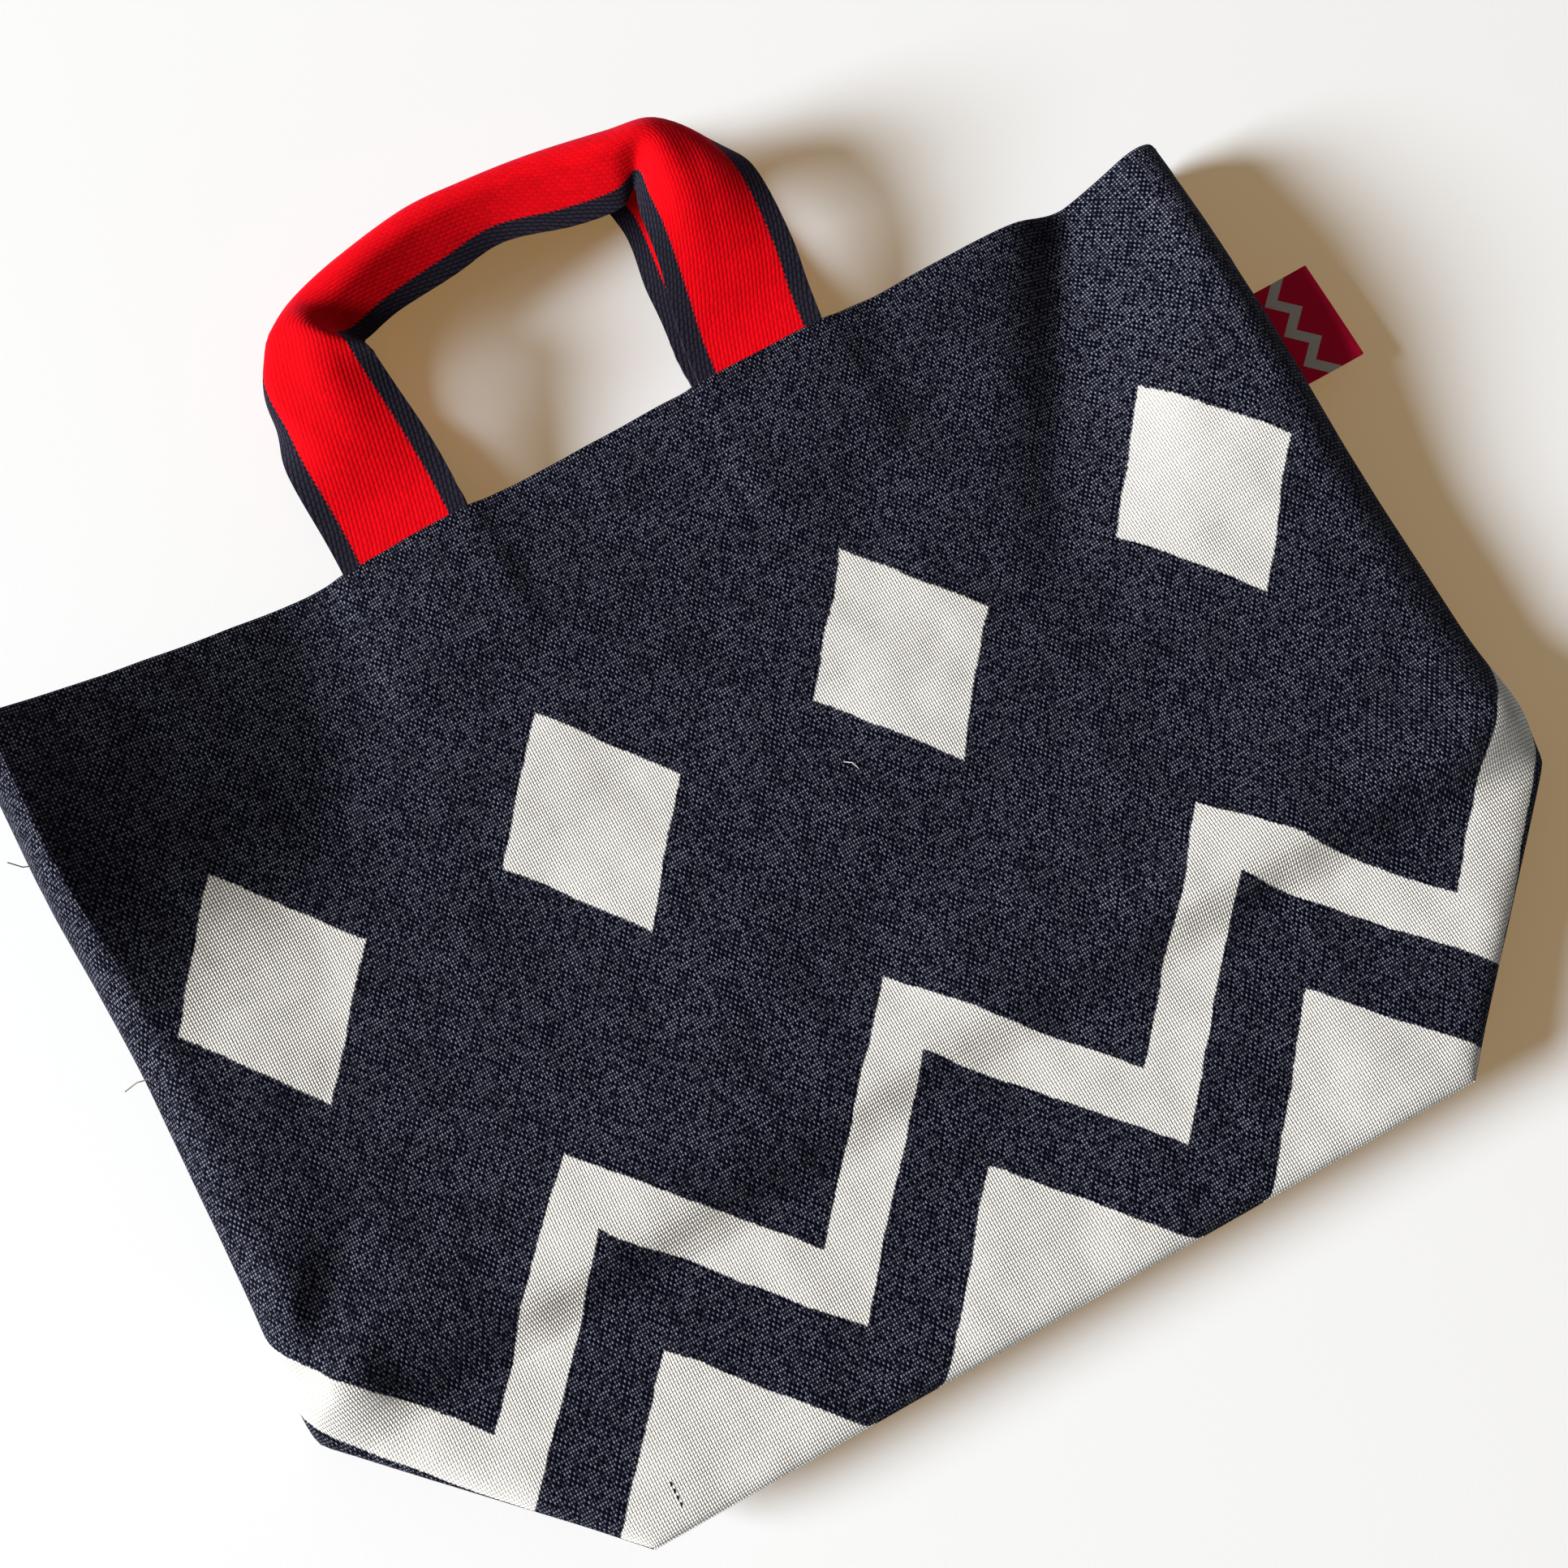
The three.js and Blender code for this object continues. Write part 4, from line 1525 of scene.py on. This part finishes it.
REAR_STATIONS = [
    flat_station(-35.5, -73.5, -1, 0),
    flat_station(-35.8, -73.8, 20, 0),
    Station((-40.5, 44, 1.2), (-50, 47, 8.7), (-60, 49, 8.7), (-67.5, 49.5, 1)),
    Station((-40, 62, 3), (-44, 67.5, 13.5), (-49, 72.5, 13.5), (-54, 76.5, 2.5)),
    Station((-20, 71.5, 2.5), (-21, 77.5, 13.5), (-22, 85.5, 13), (-23.5, 90.5, 2.5)),
    Station((12, 72.5, 2.5), (12.5, 78, 13.5), (13, 86, 13), (13.5, 91, 2.5)),
    Station((35, 69.5, 2.5), (40.5, 74.5, 12.5), (47, 79.5, 12), (53.5, 84.5, 1.5)),
    Station((40.5, 60, 0.5), (49.5, 64, 5), (60, 67, 5), (71, 69, -0.5)),
    Station((37.9, 38, 0), (49, 39.5, 3), (62, 40.5, 3), (74.5, 41, -0.5)),
    flat_station(35.8, 73.8, 16, 0),
    flat_station(35.5, 73.5, -1, 0),
]


@dataclass
class Handle:
    """One webbing handle: its free loop and its two sewn-in ends."""

    face: Face
    stations: list[Station]
    leg_z: float                  # height of the webbing where it leaves the hem
    hem_room: float
    relief: Relief
    folds: Folds
    wardrobe: Wardrobe
    width: float = 38.0
    thickness: float = 2.0
    loop_grid: tuple[int, int] = (120, 170)
    end_grid: tuple[int, int] = (40, 30)
    end_past: float = 0.6         # the sewn-in ends reach this far past the hem
    length_steps: int = 200
    rib: float = 1.2
    rib_slant: float = 0.24
    rib_height: float = 0.06
    scallop: float = 0.35         # the selvedge's small scallops
    scallop_pitch: float = 1.5
    scallop_band: float = 1.0
    fillet: float = 4.5           # length over which a bend across the webbing is rounded, to either side
    bend_start: float = -1.0      # from the mouth, a stretch of the loop
    bend_end: float = 20.0

    @cached_property
    def rails(self) -> list[list[Vector]]:
        """The stations' points along each of the webbing's four lines."""
        lines = ("inner", "crest", "shoulder", "outer")
        return [[Vector(getattr(station, line)) for station in self.stations] for line in lines]

    def section(self, share: float) -> list[Vector]:
        """The webbing's four lines at a share of the loop, at its true width."""
        inner, crest, shoulder, outer = (spline(rail, share) for rail in self.rails)
        left_over = self.width - (crest - inner).length - (shoulder - crest).length
        return [inner, crest, shoulder, shoulder + (outer - shoulder).normalized() * left_over]

    def length_table(self) -> list[Plan]:
        """Measures the loop along its crest.

        Returns:
            Pairs of length and share of the loop.
        """
        table = [(0.0, 0.0)]
        last = self.section(0)[1]
        for step in range(1, self.length_steps + 1):
            share = step / self.length_steps
            at = self.section(share)[1]
            table.append((table[-1][0] + (at - last).length, share))
            last = at
        return table

    def across(self, corners: list[Vector], reach: float) -> Vector:
        """Point of a cross-section, rounded at its two bends.

        Args:
            corners: the webbing's four lines.
            reach: length along the cross-section from its inner edge.

        Returns:
            The point.
        """
        inner, crest, shoulder, outer = corners
        first = (crest - inner).length
        second = first + (shoulder - crest).length
        bend, turn = (first, crest) if reach < (first + second) / 2 else (second, shoulder)
        before = (inner if turn is crest else crest) - turn
        after = (shoulder if turn is crest else outer) - turn
        fillet = min(self.fillet, (second - first) / 2)
        past = reach - bend
        if abs(past) >= fillet:
            return turn + (before.normalized() * -past if past < 0 else after.normalized() * past)
        t = 0.5 + 0.5 * past / fillet
        return turn + before.normalized() * fillet * (1 - t) ** 2 + after.normalized() * fillet * t * t

    def build_loop(self) -> bpy.types.Object:
        """Builds the free loop.

        Returns:
            The new object.
        """
        table = self.length_table()
        total = table[-1][0]

        def flat(column: float, row: float) -> Plan:
            """A place on the flat webbing, from its middle line."""
            return (column - 0.5) * self.width, row * total

        def place(column: float, row: float) -> Point:
            """A point on the loop's outer side, with the ribs and the selvedge's scallops."""
            corners = self.section(stretch(row * total, table))
            at = self.across(corners, column * self.width)
            u, v = flat(column, row)
            edge = max(0.0, abs(u) - self.width / 2 + self.scallop_band)
            out = (corners[3] - corners[2] if u > 0 else corners[0] - corners[1]).normalized()
            at = at + out * edge * self.scallop * math.sin(math.pi * v / self.scallop_pitch) ** 2
            rib = math.sin(math.pi * (((u + v * self.rib_slant) / self.rib) % 1))
            return at.x, self.folds.mouth_y + at.y, self.leg_z + at.z + self.rib_height * rib

        name = f"{self.face.key}_handle_loop"
        return Sheet(name, *self.loop_grid, self.thickness, self.wardrobe.webbing).build(place, flat)

    def build_end(self, side: Side) -> None:
        """Builds a sewn-in end behind the hem."""
        node = f"{self.face.key}_handle_{side.key}_end"
        low, high = box_in_mm(node)

        def place(column: float, row: float) -> Point:
            """A point on the end's upper side."""
            x = between(low.x, high.x, column)
            y = between(low.y, high.y + self.end_past, row)
            if self.face is Face.REAR:
                return x, y, self.leg_z
            return x, y, self.relief.front_level(x, y) - self.hem_room

        def flat(column: float, row: float) -> Plan:
            """Its place on the flat webbing."""
            return (column - 0.5) * self.width, row * (high.y - low.y)

        sheet = Sheet(f"{node}_webbing", *self.end_grid, self.thickness, self.wardrobe.webbing)
        made = sheet.build(place, flat)
        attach(made, self.face.body)
        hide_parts(node)

    def build(self) -> None:
        """Builds the handle's loop and its sewn-in ends."""
        loop = self.build_loop()
        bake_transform(loop)
        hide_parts(f"{self.face.key}_handle")
        for side in Side:
            self.build_end(side)


@dataclass
class SideLabel:
    """The folded label sewn into the right side seam."""

    folds: Folds
    wardrobe: Wardrobe
    tuck: float = 1.6
    thickness: float = 1.0
    grid: tuple[int, int] = (48, 40)
    curl: float = 1.2
    curl_from: float = 0.3            # share of the width where the label lies lowest
    curl_wave: Point = (0.5, 2.2, 0.4)    # size, pace and start of the curl's change along the seam
    fold_band: float = 0.05           # share of the width that the fold rounds off
    rim: float = 0.02                 # least share of the thickness at the fold, squared
    bend: float = 48.0                # a bend along the label

    def build(self) -> None:
        """Builds the label with a slight curl."""
        low, high = box_in_mm("side_tag")
        width, height = high.x - low.x + self.tuck, high.y - low.y
        size, pace, begin = self.curl_wave

        def place(column: float, row: float) -> Point:
            """A point on the label's upper side."""
            x, y = low.x - self.tuck + width * column, low.y + height * row
            lift = self.curl * (column - self.curl_from) ** 2 * (1 + size * math.sin(pace * row + begin))
            past = max(0.0, (column - (1 - self.fold_band)) / self.fold_band)
            fold = self.thickness / 2 * math.sqrt(max(self.rim, 1 - past ** 2))
            return x, y, self.folds.middle_z + lift + fold

        def flat(column: float, row: float) -> Plan:
            """Its place on the flat label."""
            return width * column, height * row

        made = Sheet("side_label", *self.grid, self.thickness, self.wardrobe.label).build(place, flat)
        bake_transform(made)
        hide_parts("side_tag")


@dataclass(frozen=True)
class YarnEnd:
    """A short end of yarn or a single stitch: the points it follows, in millimetres, and its body."""

    name: str
    points: tuple[Point, ...]
    radius: float
    body: str
    pale: bool = False


@dataclass
class LooseEnds:
    """Stitches of the base seam that show on the front, and ends of yarn that stick out of the cloth."""

    folds: Folds
    relief: Relief
    wardrobe: Wardrobe
    stitch_x: float = -105.0
    stitch_start: float = 12.2        # from the base edge
    stitch_pitch: float = 1.75
    stitch_count: int = 4
    stitch_radius: float = 0.22
    stitch_way: tuple[Point, ...] = ((0, 0, -0.1), (-0.15, -0.5, 0.12), (-0.3, -1.1, -0.1))
    side_way: tuple[Point, ...] = ((3.5, 93.2, 29), (-1, 94.3, 32), (-3.6, 96.8, 33.5))   # from the seam
    side_radius: float = 0.16
    pale_way: tuple[Point, ...] = ((3.5, 32.6, 18), (-1, 33.1, 21.5), (-4.5, 32.2, 22.5))
    pale_radius: float = 0.2
    lint_way: tuple[Point, ...] = ((18.6, 19.3, 0.1), (20.4, 18.0, 0.5), (21.1, 15.9, 0.1))
    lint_radius: float = 0.14
    corners: int = 6                  # of a yarn's cross-section

    def on_front(self, x: float, y: float, lift: float) -> Point:
        """A point a little above the front's cloth, or under it."""
        at_x, at_y, z = self.relief.point(Face.FRONT, x, y)
        return at_x, at_y, z + lift

    def ends(self) -> list[YarnEnd]:
        """Lists the stitches and loose ends.

        Returns:
            Every one of them.
        """
        made = []
        for index in range(self.stitch_count):
            y = self.folds.base_y + self.stitch_start - index * self.stitch_pitch
            way = tuple(
                self.on_front(self.stitch_x + dx, y + dy, lift) for dx, dy, lift in self.stitch_way
            )
            made.append(YarnEnd(f"base_stitch_{index + 1}", way, self.stitch_radius, Face.FRONT.body))
        seam = Side.LEFT.value * self.folds.seam_x
        body = f"{half_name(Face.FRONT, Side.LEFT)}_side"
        for name, offsets, radius, pale in (
            ("side_yarn_end", self.side_way, self.side_radius, False),
            ("pale_yarn_end", self.pale_way, self.pale_radius, True),
        ):
            way = tuple((seam + off_x, y, z) for off_x, y, z in offsets)
            made.append(YarnEnd(name, way, radius, body, pale))
        lint = tuple(self.on_front(*spot) for spot in self.lint_way)
        made.append(YarnEnd("front_lint", lint, self.lint_radius, Face.FRONT.body, True))
        return made

    def build_end(self, end: YarnEnd) -> None:
        """Builds one as a thin round yarn."""
        form = bmesh.new()
        form.verts.layers.float_vector.new(FLAT)
        points = [Vector(point) * MM for point in end.points]
        disc = bmesh.ops.create_circle(form, cap_ends=True, segments=self.corners, radius=end.radius * MM)
        turn = (points[-1] - points[0]).to_track_quat("Z", "Y").to_matrix().to_4x4()
        bmesh.ops.transform(form, matrix=Matrix.Translation(points[0]) @ turn, verts=disc["verts"])
        tip = form.faces[:]
        for index, (here, there) in enumerate(zip(points, points[1:])):
            grown = bmesh.ops.extrude_face_region(form, geom=tip, use_keep_orig=index == 0)["geom"]
            tip = [item for item in grown if isinstance(item, bmesh.types.BMFace)]
            moved = [item for item in grown if isinstance(item, bmesh.types.BMVert)]
            bmesh.ops.translate(form, verts=moved, vec=there - here)
        bmesh.ops.recalc_face_normals(form, faces=form.faces[:])
        piece = finish_mesh(end.name, form, self.wardrobe.pale_yarn if end.pale else self.wardrobe.thread)
        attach(piece, end.body)

    def build(self) -> None:
        """Builds them all."""
        for end in self.ends():
            self.build_end(end)


@dataclass(frozen=True)
class Viewpoint:
    """The photograph's camera, in millimetres, degrees and pixels of its square picture."""

    azimuth: float = -19.63
    elevation: float = 77.21
    roll: float = -9.33
    target: Point = (3.54, 25.64, 0.0)
    distance: float = 567.35
    focal: float = 2600.0
    picture: float = 1932.0
    sensor: float = 36.0
    clip: Plan = (0.01, 20.0)     # in metres

    def build(self) -> None:
        """Makes the camera and sets it."""
        a, e, r = (math.radians(angle) for angle in (self.azimuth, self.elevation, self.roll))
        back = Vector((math.sin(a) * math.cos(e), -math.cos(a) * math.cos(e), math.sin(e)))
        level = Vector((math.cos(a), math.sin(a), 0))
        rise = back.cross(level)
        right = level * math.cos(r) + rise * math.sin(r)
        up = rise * math.cos(r) - level * math.sin(r)
        data = bpy.data.cameras.new("photo_camera")
        data.sensor_width = self.sensor
        data.lens = self.sensor * self.focal / self.picture
        data.clip_start, data.clip_end = self.clip
        camera = bpy.data.objects.new("photo_camera", data)
        turn = Matrix((right, up, back)).transposed().to_4x4()
        turn.translation = (Vector(self.target) + back * self.distance) * MM
        camera.matrix_world = turn
        bpy.context.scene.collection.objects.link(camera)
        bpy.context.scene.camera = camera


@dataclass(frozen=True)
class Studio:
    """Floor and lights, in metres and watts."""

    floor_half: float = 3.0
    floor_drop: float = 0.0003
    key_from: Point = (-6.21, 1.26, 3.17)
    key_size: float = 3.0
    key_power: float = 1250.0
    key_colour: Rgb = (0.98, 0.99, 1.0)
    world_colour: Rgb = (1.0, 0.9, 0.78)
    world_strength: float = 0.11
    backdrop: Rgb = (0.88, 0.875, 0.86)

    def build_floor(self) -> None:
        """Makes the table top just under the bag."""
        form = bmesh.new()
        bmesh.ops.create_grid(form, x_segments=2, y_segments=2, size=self.floor_half)
        bmesh.ops.translate(form, verts=form.verts, vec=(0, 0, -self.floor_drop))
        floor = finish_mesh("floor", form, FloorFinish("table_top").build())

    def build_key(self) -> None:
        """Makes the window light that throws the long shadows."""
        light = bpy.data.lights.new("window_light", "AREA")
        light.shape = "DISK"
        light.size = self.key_size
        light.energy = self.key_power
        light.color = self.key_colour
        lamp = bpy.data.objects.new("window_light", light)
        lamp.location = self.key_from
        lamp.rotation_euler = (-Vector(self.key_from)).to_track_quat("-Z", "Y").to_euler()
        bpy.context.scene.collection.objects.link(lamp)

    def build_room(self) -> None:
        """Makes the soft light of the room, with a pale backdrop for the camera."""
        world = bpy.data.worlds.new("room")
        world.use_nodes = True
        graph = Graph(world.node_tree)
        seen = graph.background_rays()
        background = world.node_tree.nodes["Background"]
        colour = graph.mix(seen, opaque(self.world_colour), opaque(self.backdrop))
        graph.feed(background.inputs["Color"], colour)
        strength = graph.plus(graph.times(seen, 1 - self.world_strength), self.world_strength)
        graph.feed(background.inputs["Strength"], strength)
        bpy.context.scene.world = world

    def build(self) -> None:
        """Makes the floor, the key light and the room, and sets the view."""
        self.build_floor()
        self.build_key()
        self.build_room()
        bpy.context.scene.view_settings.view_transform = "Standard"


def main() -> None:
    """Builds the bag, its camera and its studio."""
    logging.basicConfig(level=logging.INFO, format="%(name)s: %(message)s")
    Viewpoint().build()
    Studio().build()
    folds = Folds.from_frame()
    relief = Relief(folds)
    wardrobe = Wardrobe.build()
    shell = Shell(folds, relief, wardrobe)
    shell.build()
    TuckedBase(folds, wardrobe).build()
    SideSeams(folds, wardrobe).build()
    room = shell.hem_room
    front_leg = relief.front_level(relief.strap_x, folds.mouth_y) - room
    rear_leg = room + Handle.thickness
    Handle(Face.FRONT, FRONT_STATIONS, front_leg, room, relief, folds, wardrobe).build()
    Handle(Face.REAR, REAR_STATIONS, rear_leg, room, relief, folds, wardrobe).build()
    SideLabel(folds, wardrobe).build()
    LooseEnds(folds, relief, wardrobe).build()


if __name__ == "__main__":
    main()
